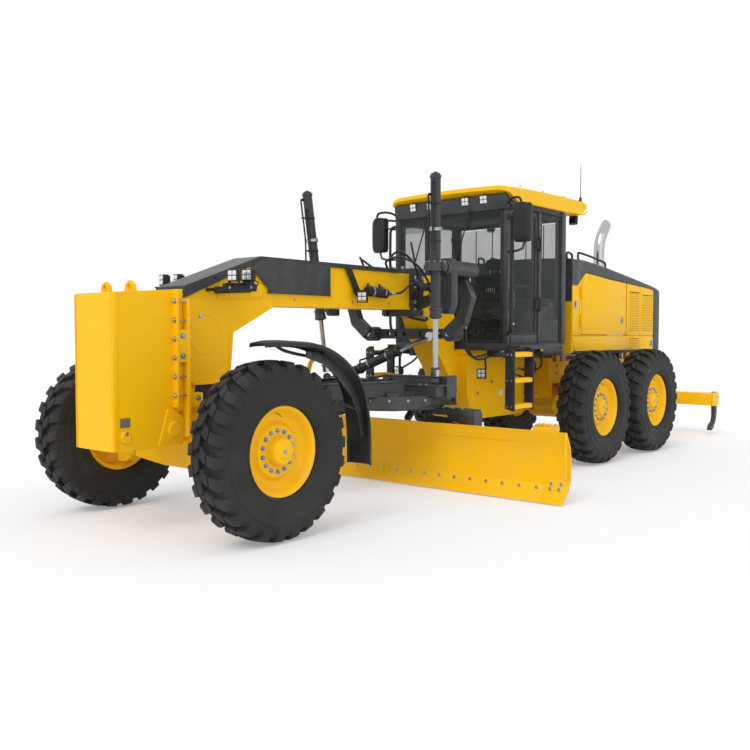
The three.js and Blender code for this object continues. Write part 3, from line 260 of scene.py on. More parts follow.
# Fine grain as a height, for orange peel in paint, moulded plastic and rubber.
def makeGrainGroup():
    group, source, sink = newGroup(
        "fine_grain",
        [("Scale", "NodeSocketFloat", 300.0), ("Coarse", "NodeSocketFloat", 0.3)],
        [("Height", "NodeSocketFloat")])
    place = group.nodes.new("ShaderNodeTexCoord")
    fine = noiseAt(group, place.outputs["Object"], source.outputs["Scale"], 2)
    broad = noiseAt(group, place.outputs["Object"], 24.0, 2)
    group.links.new(calc(group, "ADD", fine, calc(group, "MULTIPLY", broad, source.outputs["Coarse"])),
                    sink.inputs["Height"])
    return group


# Paint rubbed thin along edges, found from how sharply the surface turns; the lighter edge colour is also a
# painted highlight, standing in for the sheen that rounded edges catch.
def makeEdgeGroup():
    group, source, sink = newGroup(
        "edge_wear_and_highlight",
        [("Colour", "NodeSocketColor", (0.5, 0.5, 0.5, 1)), ("Worn and lit", "NodeSocketColor", (0.6, 0.6, 0.6, 1)),
         ("Amount", "NodeSocketFloat", 0.5)],
        [("Colour", "NodeSocketColor")])
    place = group.nodes.new("ShaderNodeTexCoord")
    shape = group.nodes.new("ShaderNodeNewGeometry")
    edge = ramp(group, shape.outputs["Pointiness"], 0.53, 0.62)
    broken = ramp(group, noiseAt(group, place.outputs["Object"], 9.0, 5), 0.4, 0.65)
    mask = calc(group, "MULTIPLY", calc(group, "MULTIPLY", edge, broken), source.outputs["Amount"])
    group.links.new(mixColour(group, mask, source.outputs["Colour"], source.outputs["Worn and lit"]),
                    sink.inputs["Colour"])
    return group


dustGroup = makeDustGroup()
toneGroup = makeToneGroup()
grainGroup = makeGrainGroup()
edgeGroup = makeEdgeGroup()

# each finish's lighter edge colour stands for rubbed paint and is also a painted highlight on sharp edges
finishes = {
    "yellow_paint": {"colour": (0.93, 0.51, 0.003), "rough": 0.36, "shine": 0.16, "tone": 0.05,
                     "worn": (0.96, 0.62, 0.05), "edge": 0.35, "dust": 0.12, "grain": 420, "bump": 0.012},
    "charcoal_paint": {"colour": (0.036, 0.04, 0.042), "rough": 0.42, "shine": 0.34, "tone": 0.22,
                       "worn": (0.11, 0.115, 0.12), "edge": 0.6, "dust": 0.2, "grain": 380, "bump": 0.015},
    "black_plastic": {"colour": (0.013, 0.014, 0.015), "rough": 0.5, "shine": 0.34, "tone": 0.2,
                      "worn": (0.05, 0.05, 0.05), "edge": 0.5, "dust": 0.16, "grain": 260, "bump": 0.04},
    "tyre_rubber": {"colour": (0.015, 0.0156, 0.016), "rough": 0.66, "shine": 0.32, "tone": 0.35,
                    "worn": (0.045, 0.044, 0.043), "edge": 0.5, "dust": 0.26, "grain": 190, "bump": 0.06},
    "bare_steel": {"colour": (0.42, 0.43, 0.45), "rough": 0.34, "metal": 1.0, "tone": 0.2,
                   "worn": (0.6, 0.6, 0.6), "edge": 0.5, "dust": 0.1, "grain": 240, "bump": 0.02},
    "chrome": {"colour": (0.46, 0.47, 0.49), "rough": 0.14, "metal": 1.0, "tone": 0.04,
               "worn": (0.8, 0.8, 0.8), "edge": 0.2, "dust": 0.04, "grain": 300, "bump": 0.003},
    "zinc_nut": {"colour": (0.33, 0.38, 0.47), "rough": 0.3, "metal": 1.0, "tone": 0.3,
                 "worn": (0.6, 0.62, 0.66), "edge": 0.5, "dust": 0.05, "grain": 240, "bump": 0.01},
    "hose_rubber": {"colour": (0.012, 0.012, 0.013), "rough": 0.45, "tone": 0.2,
                    "worn": (0.04, 0.04, 0.04), "edge": 0.3, "dust": 0.1, "grain": 500, "bump": 0.03},
    "seat_cloth": {"colour": (0.022, 0.023, 0.026), "rough": 0.9, "tone": 0.3,
                   "worn": (0.05, 0.05, 0.05), "edge": 0.2, "dust": 0.0, "grain": 700, "bump": 0.2},
    "cab_trim": {"colour": (0.075, 0.078, 0.083), "rough": 0.6, "tone": 0.2,
                 "worn": (0.12, 0.12, 0.12), "edge": 0.3, "dust": 0.0, "grain": 300, "bump": 0.05},
    "silver_latch": {"colour": (0.5, 0.51, 0.53), "rough": 0.36, "metal": 0.8, "tone": 0.1,
                     "worn": (0.7, 0.7, 0.7), "edge": 0.3, "dust": 0.05, "grain": 300, "bump": 0.02},
    "grey_plate": {"colour": (0.13, 0.12, 0.1), "rough": 0.5, "tone": 0.1,
                   "worn": (0.3, 0.3, 0.3), "edge": 0.2, "dust": 0.05, "grain": 300, "bump": 0.01},
    "white_label": {"colour": (0.72, 0.72, 0.7), "rough": 0.45, "tone": 0.05,
                    "worn": (0.6, 0.6, 0.6), "edge": 0.1, "dust": 0.05, "grain": 300, "bump": 0.0},
    "lamp_face": {"colour": (0.8, 0.82, 0.84), "rough": 0.12, "metal": 0.55, "coat": 0.6, "tone": 0.1,
                  "worn": (0.9, 0.9, 0.9), "edge": 0.1, "dust": 0.0, "grain": 90, "bump": 0.05},
    "mirror_face": {"colour": (0.62, 0.64, 0.66), "rough": 0.04, "metal": 1.0, "tone": 0.02,
                    "worn": (0.6, 0.6, 0.6), "edge": 0.0, "dust": 0.0, "grain": 300, "bump": 0.0},
    "red_lens": {"colour": (0.42, 0.012, 0.01), "rough": 0.15, "coat": 0.5, "tone": 0.1,
                 "worn": (0.5, 0.1, 0.1), "edge": 0.1, "dust": 0.0, "grain": 90, "bump": 0.03},
    "amber_lens": {"colour": (0.75, 0.2, 0.008), "rough": 0.15, "coat": 0.5, "tone": 0.1,
                   "worn": (0.8, 0.4, 0.1), "edge": 0.1, "dust": 0.0, "grain": 90, "bump": 0.03},
}
dustColours = {"tyre_rubber": (0.1, 0.095, 0.085, 1)}
surface = {"dustColour": (0.36, 0.31, 0.24, 1), "dustHeight": 1.5, "glossSpread": 0.16, "coatRoughness": 0.12}


def placeGroup(tree, group, values):
    node = tree.nodes.new("ShaderNodeGroup")
    node.node_tree = group
    for label, value in values.items():
        node.inputs[label].default_value = value
    return node


def makeFinish(name, look):
    material = bpy.data.materials.new(name)
    material.use_nodes = True
    tree = material.node_tree
    links = tree.links
    shader = tree.nodes["Principled BSDF"]
    # the edge group paints a lighter colour along sharp edges: wear, and a painted highlight
    edge = placeGroup(tree, edgeGroup, {"Colour": (*look["colour"], 1), "Worn and lit": (*look["worn"], 1),
                                        "Amount": look["edge"]})
    tone = placeGroup(tree, toneGroup, {"Shift": look["tone"], "Roughness": look["rough"],
                                        "Spread": surface["glossSpread"]})
    dust = placeGroup(tree, dustGroup, {"Dust": dustColours.get(name, surface["dustColour"]),
                                        "Amount": look["dust"], "Height": surface["dustHeight"]})
    grain = placeGroup(tree, grainGroup, {"Scale": look["grain"]})
    bump = tree.nodes.new("ShaderNodeBump")
    bump.inputs["Strength"].default_value = 0.5
    bump.inputs["Distance"].default_value = look["bump"] * 0.1
    links.new(edge.outputs["Colour"], tone.inputs["Colour"])
    links.new(tone.outputs["Colour"], dust.inputs["Colour"])
    links.new(grain.outputs["Height"], bump.inputs["Height"])
    links.new(dust.outputs["Colour"], shader.inputs["Base Color"])
    links.new(tone.outputs["Roughness"], shader.inputs["Roughness"])
    links.new(bump.outputs["Normal"], shader.inputs["Normal"])
    shader.inputs["Metallic"].default_value = look.get("metal", 0.0)
    shader.inputs["Coat Weight"].default_value = look.get("coat", 0.0)
    shader.inputs["Specular IOR Level"].default_value = look.get("shine", 0.5)
    shader.inputs["Coat Roughness"].default_value = surface["coatRoughness"]
    return material


# Thin tinted panes: mostly clear, with a reflection that grows at a slant.
def makeGlass(name, tint, clearness):
    material = bpy.data.materials.new(name)
    material.use_nodes = True
    tree = material.node_tree
    shader = tree.nodes["Principled BSDF"]
    shader.inputs["Base Color"].default_value = (*tint, 1)
    shader.inputs["Roughness"].default_value = 0.02
    shader.inputs["IOR"].default_value = 1.45
    shader.inputs["Specular IOR Level"].default_value = 0.6
    smear = tree.nodes.new("ShaderNodeTexCoord")
    haze = ramp(tree, noiseAt(tree, smear.outputs["Object"], 2.2, 3), 0.3, 0.8, 1 - clearness,
                1.06 - clearness)
    tree.links.new(haze, shader.inputs["Alpha"])
    return material


materials = {name: makeFinish(name, look) for name, look in finishes.items()}
materials["cab_glass"] = makeGlass("cab_glass", (0.028, 0.04, 0.04), 0.8)
print("finishes ready")


# ---- making meshes ----
def curveThrough(points, steps=6):
    # a smooth line through the points, rounded at each one
    if len(points) < 3:
        return [Vector(p) for p in points]
    spots = [Vector(p) for p in points]
    spots = [2 * spots[0] - spots[1]] + spots + [2 * spots[-1] - spots[-2]]
    line = []
    for i in range(1, len(spots) - 2):
        a, b, c, d = spots[i - 1:i + 3]
        for k in range(steps):
            t = k / steps
            line.append(0.5 * (2 * b + (c - a) * t + (2 * a - 5 * b + 4 * c - d) * t * t
                               + (3 * b - a - 3 * c + d) * t ** 3))
    return line + [spots[-2]]


class Shape:
    # several solids gathered into the mesh of one piece
    def __init__(self):
        self.bm = bmesh.new()

    def take(self, part, paint=0, turn=None):
        if turn is not None:
            part.transform(turn)
        mesh = bpy.data.meshes.new("part")
        for face in part.faces:
            face.material_index = paint
        part.to_mesh(mesh)
        part.free()
        self.bm.from_mesh(mesh)
        bpy.data.meshes.remove(mesh)
        return self

    def bevelled(self, part, edge, sharp=0.5):
        if edge:
            part.normal_update()
            edges = [e for e in part.edges if len(e.link_faces) == 2 and e.calc_face_angle(0) > sharp]
            bmesh.ops.bevel(part, geom=edges, offset=edge, offset_type="OFFSET", segments=2, profile=0.6,
                            affect="EDGES", clamp_overlap=True)

    def block(self, low, high, edge=0.004, paint=0, turn=None):
        part = bmesh.new()
        bmesh.ops.create_cube(part, size=1)
        size = [h - l for l, h in zip(low, high)]
        middle = [(h + l) / 2 for l, h in zip(low, high)]
        part.transform(Matrix.Translation(middle) @ Matrix.Diagonal((*size, 1)))
        self.bevelled(part, min(edge, min(abs(s) for s in size) * 0.4))
        return self.take(part, paint, turn)

    def lathe(self, profile, place, towards, sides=32, paint=0):
        # profile is (distance along, radius) pairs about a line from place
        part = bmesh.new()
        spin = Vector(towards).to_track_quat("Z", "Y").to_matrix().to_4x4()
        rings = []
        for along, radius in profile:
            if radius <= 1e-6:
                rings.append([part.verts.new((0, 0, along))])
            else:
                rings.append([part.verts.new((radius * cos(2 * pi * i / sides),
                                              radius * sin(2 * pi * i / sides), along))
                              for i in range(sides)])
        for a, b in zip(rings, rings[1:]):
            for i in range(sides):
                j = (i + 1) % sides
                if len(a) == 1 and len(b) == 1:
                    continue
                if len(a) == 1:
                    part.faces.new((a[0], b[j], b[i]))
                elif len(b) == 1:
                    part.faces.new((a[i], a[j], b[0]))
                else:
                    part.faces.new((a[i], a[j], b[j], b[i]))
        bmesh.ops.recalc_face_normals(part, faces=part.faces)
        return self.take(part, paint, Matrix.Translation(place) @ spin)

    def rod(self, start, end, radius, sides=24, paint=0, edge=0.003):
        length = (Vector(end) - Vector(start)).length
        lip = min(edge, radius * 0.4, length * 0.3)
        profile = [(0, 0), (0, radius - lip), (lip, radius), (length - lip, radius), (length, radius - lip),
                   (length, 0)]
        return self.lathe(profile, start, Vector(end) - Vector(start), sides, paint)

    def band(self, start, end, outer, inner, sides=32, paint=0, edge=0.003):
        length = (Vector(end) - Vector(start)).length
        profile = [(edge, inner), (0, inner + edge), (0, outer - edge), (edge, outer), (length - edge, outer),
                   (length, outer - edge), (length, inner + edge), (length - edge, inner), (edge, inner)]
        return self.lathe(profile, start, Vector(end) - Vector(start), sides, paint)

    def pipe(self, points, radius, sides=10, paint=0, steps=6, flat=1.0):
        line = curveThrough(points, steps)
        part = bmesh.new()
        side = None
        rings = []
        for i, spot in enumerate(line):
            ahead = (line[min(i + 1, len(line) - 1)] - line[max(i - 1, 0)]).normalized()
            if side is None:
                side = ahead.orthogonal().normalized()
            side = (side - ahead * side.dot(ahead)).normalized()
            up = ahead.cross(side)
            ring = []
            for k in range(sides):
                a = 2 * pi * k / sides
                ring.append(part.verts.new(spot + side * cos(a) * radius + up * sin(a) * radius * flat))
            rings.append(ring)
        for a, b in zip(rings, rings[1:]):
            for k in range(sides):
                j = (k + 1) % sides
                part.faces.new((a[k], a[j], b[j], b[k]))
        part.faces.new(rings[0][::-1])
        part.faces.new(rings[-1])
        bmesh.ops.recalc_face_normals(part, faces=part.faces)
        return self.take(part, paint)

    def slab(self, axis, outline, low, high, edge=0.003, paint=0):
        # an outline in the plane across axis, made thick from low to high
        place = {"x": lambda u, v, w: (w, u, v), "y": lambda u, v, w: (u, w, v), "z": lambda u, v,
                 w: (u, v, w)}[axis]
        part = bmesh.new()
        face = part.faces.new([part.verts.new(place(u, v, low)) for u, v in outline])
        grown = bmesh.ops.extrude_face_region(part, geom=[face])
        step = Vector(place(0, 0, high - low)) - Vector(place(0, 0, 0))
        bmesh.ops.translate(part, vec=step,
                            verts=[g for g in grown["geom"] if isinstance(g, bmesh.types.BMVert)])
        bmesh.ops.recalc_face_normals(part, faces=part.faces)
        self.bevelled(part, min(edge, abs(high - low) * 0.4))
        return self.take(part, paint)

    def nut(self, place, towards, radius=0.014, height=0.011, paint=0, washer=1.35, stud=0.0):
        # a hexagon head on a washer, with its bevelled crown
        profile = [(0, 0), (0, radius * washer), (height * 0.22, radius * washer),
                   (height * 0.22, radius * 1.02)]
        self.lathe(profile, place, towards, 16, paint)
        crown = [(height * 0.2, 0), (height * 0.2, radius), (height * 0.85, radius),
                 (height, radius * 0.86), (height, 0)]
        self.lathe(crown, place, towards, 6, paint)
        if stud:
            top = Vector(place) + Vector(towards).normalized() * (height + stud)
            self.rod(place, top, radius * 0.52, 12, paint, 0.002)
        return self

    def grid(self, rows, thickness=0.0, paint=0):
        # a curved sheet through rows of points, thickened to one side
        part = bmesh.new()
        made = [[part.verts.new(p) for p in row] for row in rows]
        for a, b in zip(made, made[1:]):
            for i in range(len(a) - 1):
                part.faces.new((a[i], a[i + 1], b[i + 1], b[i]))
        if thickness:
            bmesh.ops.recalc_face_normals(part, faces=part.faces)
            bmesh.ops.solidify(part, geom=part.faces[:], thickness=thickness)
        bmesh.ops.recalc_face_normals(part, faces=part.faces)
        return self.take(part, paint)

    def mirrored(self):
        bmesh.ops.scale(self.bm, vec=(-1, 1, 1), verts=self.bm.verts)
        bmesh.ops.reverse_faces(self.bm, faces=self.bm.faces)
        return self

    def done(self, name, body, paints, slot=None, smooth=32):
        # places are measured back from the front axle, so the mesh moves by axleY
        self.bm.transform(Matrix.Translation((0, axleY, 0)))
        mesh = bpy.data.meshes.new(name)
        self.bm.to_mesh(mesh)
        self.bm.free()
        for paint in paints:
            mesh.materials.append(materials[paint])
        mesh.shade_smooth()
        mesh.set_sharp_from_angle(angle=radians(smooth))
        piece = bpy.data.objects.new(name, mesh)
        scene.collection.objects.link(piece)
        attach(piece, body)
        return piece


def around(count, start=0.0):
    # the cosine and sine of each of count even steps round a circle
    angles = [2 * pi * i / count + start for i in range(count)]
    return [(cos(a), sin(a)) for a in angles]


def onePiece(make, name, body, paints, replaced=None, **options):
    shape = Shape()
    make(shape)
    piece = shape.done(name, body, paints, **options)
    if replaced:
        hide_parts(replaced)


def bothSides(make, name, bodies, paints, **options):
    # the same shape for the left side and, mirrored, for the right
    for hand, side in hands.items():
        shape = Shape()
        make(shape)
        if side < 0:
            shape.mirrored()
        shape.done(f"{name}_{hand}", bodies.format(hand=hand), paints, **options)


# ---- the frame's own nodes: softened edges and their finish ----
def makeSoftener():
    # joins the loose facets and keeps only real corners sharp
    group = bpy.data.node_groups.new("soften_facets", "GeometryNodeTree")
    group.interface.new_socket("Geometry", in_out="INPUT", socket_type="NodeSocketGeometry")
    group.interface.new_socket("Geometry", in_out="OUTPUT", socket_type="NodeSocketGeometry")
    source = group.nodes.new("NodeGroupInput")
    sink = group.nodes.new("NodeGroupOutput")
    drop = group.nodes.new("GeometryNodeRemoveAttribute")
    drop.inputs["Name"].default_value = "custom_normal"
    weld = group.nodes.new("GeometryNodeMergeByDistance")
    weld.inputs["Distance"].default_value = 0.0001
    faces = group.nodes.new("GeometryNodeSetShadeSmooth")
    faces.domain = "FACE"
    edges = group.nodes.new("GeometryNodeSetShadeSmooth")
    edges.domain = "EDGE"
    edges.inputs["Shade Smooth"].default_value = False
    angle = group.nodes.new("GeometryNodeInputMeshEdgeAngle")
    sharp = group.nodes.new("FunctionNodeCompare")
    sharp.operation = "GREATER_THAN"
    sharp.inputs["B"].default_value = radians(28)
    group.links.new(source.outputs[0], drop.inputs["Geometry"])
    group.links.new(drop.outputs[0], weld.inputs["Geometry"])
    group.links.new(weld.outputs[0], faces.inputs["Geometry"])
    group.links.new(faces.outputs[0], edges.inputs["Geometry"])
    group.links.new(angle.outputs["Unsigned Angle"], sharp.inputs["A"])
    group.links.new(sharp.outputs[0], edges.inputs["Selection"])
    group.links.new(edges.outputs[0], sink.inputs[0])
    return group


softener = makeSoftener()
edgeRadii = {"push_block": 0.006, "hood_shell": 0.008, "hood_top": 0.008, "front_frame": 0.006,
             "blade": 0.003, "engine_door_left": 0.006, "engine_door_right": 0.006, "cab_frame": 0.008,
             "cab_roof": 0.02}


def softenNode(name, node):
    slotName = node.data.materials[0].name.split(".")[0]
    finish = materials.get(slotName, materials["charcoal_paint"])
    for i in range(len(node.data.materials)):
        node.data.materials[i] = finish
    soften = node.modifiers.new("soften", "NODES")
    soften.node_group = softener
    bevel = node.modifiers.new("bevel", "BEVEL")
    bevel.width = edgeRadii.get(name, 0.004)
    bevel.segments = 2
    bevel.limit_method = "ANGLE"
    bevel.angle_limit = radians(40)
    bevel.harden_normals = True
    bevel.use_clamp_overlap = True


for nodeName, node in nodes.items():
    softenNode(nodeName, node)
print("frame nodes softened")

# ---- wheels ----
tyre = {
    "radius": 0.694,
    "half": 0.18,
    "bead": 0.352,
    "treadDepth": 0.036,
    "lugs": 26,  # round each shoulder
    "crownDrop": 0.02,  # how much lower the tread's edge runs than its middle
}
wheelLook = {"rimRadius": 0.344, "half": 0.1325, "nuts": 14, "nutCircle": 0.157, "sides": 96}


def crownRadius(x):
    # the tread's outer line: nearly flat, rounding over at the shoulder
    t = abs(x) / tyre["half"]
    return tyre["radius"] - tyre["crownDrop"] * t * t - 0.05 * max(0.0, t - 0.8) ** 1.6 * 8


def tyreCarcass(shape):
    r, half, deep = tyre["radius"], tyre["half"], tyre["treadDepth"]
    side = [(half - 0.04, tyre["bead"]), (half - 0.018, tyre["bead"] + 0.006),
            (half - 0.01, tyre["bead"] + 0.022), (half - 0.014, tyre["bead"] + 0.032),
            (half - 0.006, tyre["bead"] + 0.06), (half - 0.0005, tyre["bead"] + 0.095),
            (half + 0.001, tyre["bead"] + 0.1), (half + 0.001, tyre["bead"] + 0.108),
            (half - 0.0005, tyre["bead"] + 0.113), (half, tyre["bead"] + 0.15),
            (half - 0.001, tyre["bead"] + 0.19), (half + 0.001, tyre["bead"] + 0.195),
            (half + 0.0005, tyre["bead"] + 0.203), (half - 0.004, tyre["bead"] + 0.208),
            (half - 0.007, r - 0.1), (half - 0.013, r - 0.075), (half - 0.024, r - 0.052)]
    tread = [(x * half, crownRadius(x * half) - deep) for x in (0.82, 0.7, 0.5, 0.25)]
    outline = side + tread + [(0, r - deep)] + [(-x, y) for x, y in reversed(side + tread)]
    shape.lathe(outline, (0, 0, 0), (1, 0, 0), 96)


def treadPoint(x, angle, lift):
    # a point on the carcass at x across and angle round, lifted towards the tread's outer line
    if abs(x) <= tyre["half"] * 0.93:
        radius = crownRadius(x) - tyre["treadDepth"] * (1 - lift)
        across = x
    else:  # down the shoulder
        down = (abs(x) - tyre["half"] * 0.93) * 5.2
        edge = tyre["half"] * 0.93
        radius = crownRadius(edge) - down - tyre["treadDepth"] * (1 - lift) * max(0.15, 1 - down / 0.07)
        across = (edge + 0.01 * min(1.0, down / 0.03) - 0.005 * (1 - lift)) * (1 if x > 0 else -1)
    return Vector((across, radius * sin(angle), radius * cos(angle)))


def addLug(shape, stations):
    # stations are (x, angle of the leading side, angle of the trailing side)
    part = bmesh.new()
    draft = 0.0065
    chamfer = 0.004
    rings = []
    for x, lead, trail in stations:
        slope = draft / tyre["radius"]
        cut = chamfer / tyre["radius"]
        spots = [(lead, -0.25), (lead + slope, 0.8), (lead + slope + cut, 1.0), (trail - slope - cut, 1.0),
                 (trail - slope, 0.8), (trail, -0.25)]
        rings.append([part.verts.new(treadPoint(x, a, lift)) for a, lift in spots])
    for a, b in zip(rings, rings[1:]):
        for i in range(len(a) - 1):
            part.faces.new((a[i], a[i + 1], b[i + 1], b[i]))
    part.faces.new(rings[0][::-1])
    part.faces.new(rings[-1])
    bmesh.ops.recalc_face_normals(part, faces=part.faces)
    shape.take(part)


def addTread(shape, facing):
    # shoulder lugs that slant, and a staggered row of slanted blocks either side of the middle
    count = tyre["lugs"]
    pitch = 2 * pi / count
    half = tyre["half"]
    for i in range(count):
        for side in (1, -1):
            base = (i + (0.5 if side < 0 else 0)) * pitch
            stations = []
            for t, lead, trail in ((0.44, 0.26, 0.8), (0.6, 0.16, 0.76), (0.8, 0.08, 0.7), (0.93, 0.06, 0.68),
                                   (0.96, 0.06, 0.68), (0.99, 0.08, 0.66), (1.02, 0.1, 0.64)):
                stations.append((side * t * half, base + lead * pitch * facing,
                                 base + trail * pitch * facing))
            addLug(shape, fixOrder(stations))
            middle = []
            for t, lead, trail in ((0.03, 0.52, 1.14), (0.16, 0.4, 1.06), (0.3, 0.3, 0.94),
                                   (0.385, 0.36, 0.82)):
                middle.append((side * t * half, base + lead * pitch * facing, base + trail * pitch * facing))
            addLug(shape, fixOrder(middle))


def fixOrder(stations):
    return [(x, min(a, b), max(a, b)) for x, a, b in stations]


def addTyre(place, hand, body, middle, facing):
    shape = Shape()
    tyreCarcass(shape)
    addTread(shape, facing)
    shape.bm.transform(Matrix.Translation(middle))
    shape.bm.transform(Matrix.Translation((0, -axleY, 0)))
    piece = shape.done(f"tread_tyre_{place}_{hand}", body, ["tyre_rubber"], smooth=26)
    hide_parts(f"tyre_{place}_{hand}")


def addWheel(place, hand, body, middle):
    side = hands[hand]
    front = place == "front"
    shape = Shape()
    half, rim = wheelLook["half"], wheelLook["rimRadius"]
    face = half - 0.04
    reach = (face + 0.055) if front else (face + 0.018)
    profile = [(-half, rim + 0.002), (-half + 0.01, rim + 0.006), (-half + 0.018, rim - 0.01),
               (face - 0.05, rim - 0.026), (half - 0.03, rim - 0.024), (half - 0.014, rim - 0.012),
               (half - 0.008, rim + 0.003), (half - 0.001, rim + 0.006), (half + 0.002, rim + 0.001),
               (half - 0.003, rim - 0.008), (half - 0.014, rim - 0.022), (face - 0.004, rim - 0.036),
               (face - 0.03, rim - 0.048), (face - 0.05, rim - 0.075), (face - 0.056, 0.235),
               (face - 0.044, 0.214), (face - 0.022, 0.203), (face - 0.018, 0.196), (face - 0.018, 0.118),
               (face - 0.01, 0.112), (reach - 0.02, 0.104), (reach - 0.006, 0.098), (reach, 0.09),
               (reach, 0.062), (reach + 0.004, 0.058), (reach + 0.01, 0.052), (reach + 0.012, 0.046),
               (reach + 0.012, 0.0)]
    back = [(-half, rim + 0.002), (-half + 0.006, rim - 0.03), (face - 0.11, rim - 0.05), (face - 0.11, 0.15),
            (face - 0.14, 0.14), (face - 0.14, 0)]
    shape.lathe(profile, (0, 0, 0), (1, 0, 0), wheelLook["sides"])
    shape.lathe(back, (0, 0, 0), (1, 0, 0), 48)
    for i in range(wheelLook["nuts"]):
        turn = 2 * pi * i / wheelLook["nuts"]
        spot = (face - 0.018, wheelLook["nutCircle"] * sin(turn), wheelLook["nutCircle"] * cos(turn))
        shape.nut(spot, (1, 0, 0), 0.0155, 0.017, 1, 1.3, 0.012)
    shape.nut((reach + 0.011, 0, 0), (1, 0, 0), 0.013, 0.009, 1, 1.4)
    shape.pipe([(face - 0.03, 0, 0.285), (face + 0.004, 0, 0.28), (face + 0.03, 0, 0.262)], 0.005, 8, 1)
    if side < 0:
        shape.mirrored()
    shape.bm.transform(Matrix.Translation(middle))
    shape.bm.transform(Matrix.Translation((0, -axleY, 0)))
    piece = shape.done(f"wheel_disc_{place}_{hand}", body, ["yellow_paint", "zinc_nut"], smooth=34)
    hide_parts(f"rim_{place}_{hand}")


for hand in hands:
    for place in ("front", "mid", "rear"):
        body = f"wheel_{place}_{hand}"
        middle = middleOf(f"tyre_{place}_{hand}")
        addTyre(place, hand, body, middle, 1 if hand == "left" else -1)
        addWheel(place, hand, body, middle)
print("wheels ready")

# ---- push block and nose ----
block = {"side": 0.255, "boltZs": (1.845, 1.695, 1.545, 1.395, 1.245, 1.095)}


def pushBlockTrim(shape):
    x = block["side"]
    shape.block((x, -0.848, 0.692), (x + 0.007, -0.806, 1.896), 0.003)  # the edge of the thick face plate
    shape.block((x, -0.3, 1.0), (x + 0.06, -0.276, 1.94), 0.004)  # flange that takes the long bolts
    shape.block((x - 0.09, -0.192, 0.76), (x + 0.06, -0.166, 1.868), 0.004)
    shape.block((x + 0.018, -0.278, 1.36), (x + 0.05, -0.19, 1.62), 0.004)
    for z in block["boltZs"]:
        shape.rod((x + 0.034, -0.322, z), (x + 0.034, -0.14, z), 0.0075, 12, 1)
        shape.nut((x + 0.034, -0.3, z), (0, -1, 0), 0.016, 0.014, 1, 1.35)
        shape.nut((x + 0.034, -0.166, z), (0, 1, 0), 0.016, 0.014, 1, 1.35)
    for z in (1.41, 1.57):
        shape.nut((x + 0.05, -0.235, z), (1, 0, 0), 0.018, 0.016, 1, 1.4)
    shape.slab("x", [(-0.45, 0.7), (-0.22, 0.7), (-0.2, 0.905), (-0.3, 0.985), (-0.36, 0.985)], x - 0.002,
               x + 0.016)
    shape.lathe([(0, 0.06), (0.014, 0.058), (0.02, 0.05), (0.02, 0)], (x + 0.014, -0.3, 0.83), (1, 0, 0), 24)
    shape.lathe([(0, 0), (0, 0.04), (0.006, 0.046), (0.016, 0.046), (0.022, 0.038), (0.022, 0.0)],
                (x, -0.745, 0.8), (1, 0, 0), 32)
    shape.nut((x + 0.02, -0.745, 0.825), (1, 0, 0), 0.012, 0.01, 1)
    shape.block((x, -0.788, 0.872), (x + 0.0035, -0.7, 0.945), 0.001, 2)


def lugPlates(shape):
    for x in (-0.165, 0.165):  # weld lines and rings round the lifting eyes
        shape.band((x, -0.641, 1.955), (x, -0.599, 1.955), 0.03, 0.0205, 24, 0, 0.002)
        shape.block((x - 0.078, -0.64, 1.905), (x + 0.078, -0.6, 1.922), 0.004)


bothSides(pushBlockTrim, "push_block_trim", "front", ["yellow_paint", "zinc_nut", "grey_plate"])
onePiece(lugPlates, "lifting_eye_rings", "front", ["yellow_paint"])


# ---- gooseneck ----
def lamp(shape, place, facing, size=0.088, body=0, face=1, deep=0.055):
    # a square work lamp with a ribbed back and four lens cells
    half = size / 2
    turn = Matrix.Translation(place) @ Vector(facing).to_track_quat("-Y", "Z").to_matrix().to_4x4()
    shape.block((-half, 0, -half), (half, deep, half), 0.006, body, turn)
    for i in range(5):
        x = -half * 0.8 + i * half * 0.4
        shape.block((x - 0.003, deep, -half * 0.8), (x + 0.003, deep + 0.016, half * 0.8), 0.001, body, turn)
    for sx in (-1, 1):
        for sz in (-1, 1):
            low = (sx * half * 0.44 - half * 0.38, -0.005, sz * half * 0.44 - half * 0.38)
            high = (sx * half * 0.44 + half * 0.38, 0.004, sz * half * 0.44 + half * 0.38)
            shape.block(low, high, 0.003, face, turn)
    for sx in (-1, 1):  # the bail that holds it
        shape.block((sx * half - 0.004, deep * 0.3, -half * 1.25),
                    (sx * half + 0.004, deep * 0.7, half * 0.3), 0.002, body, turn)
    shape.block((-half, deep * 0.3, -half * 1.3), (half, deep * 0.7, -half * 1.18), 0.002, body, turn)


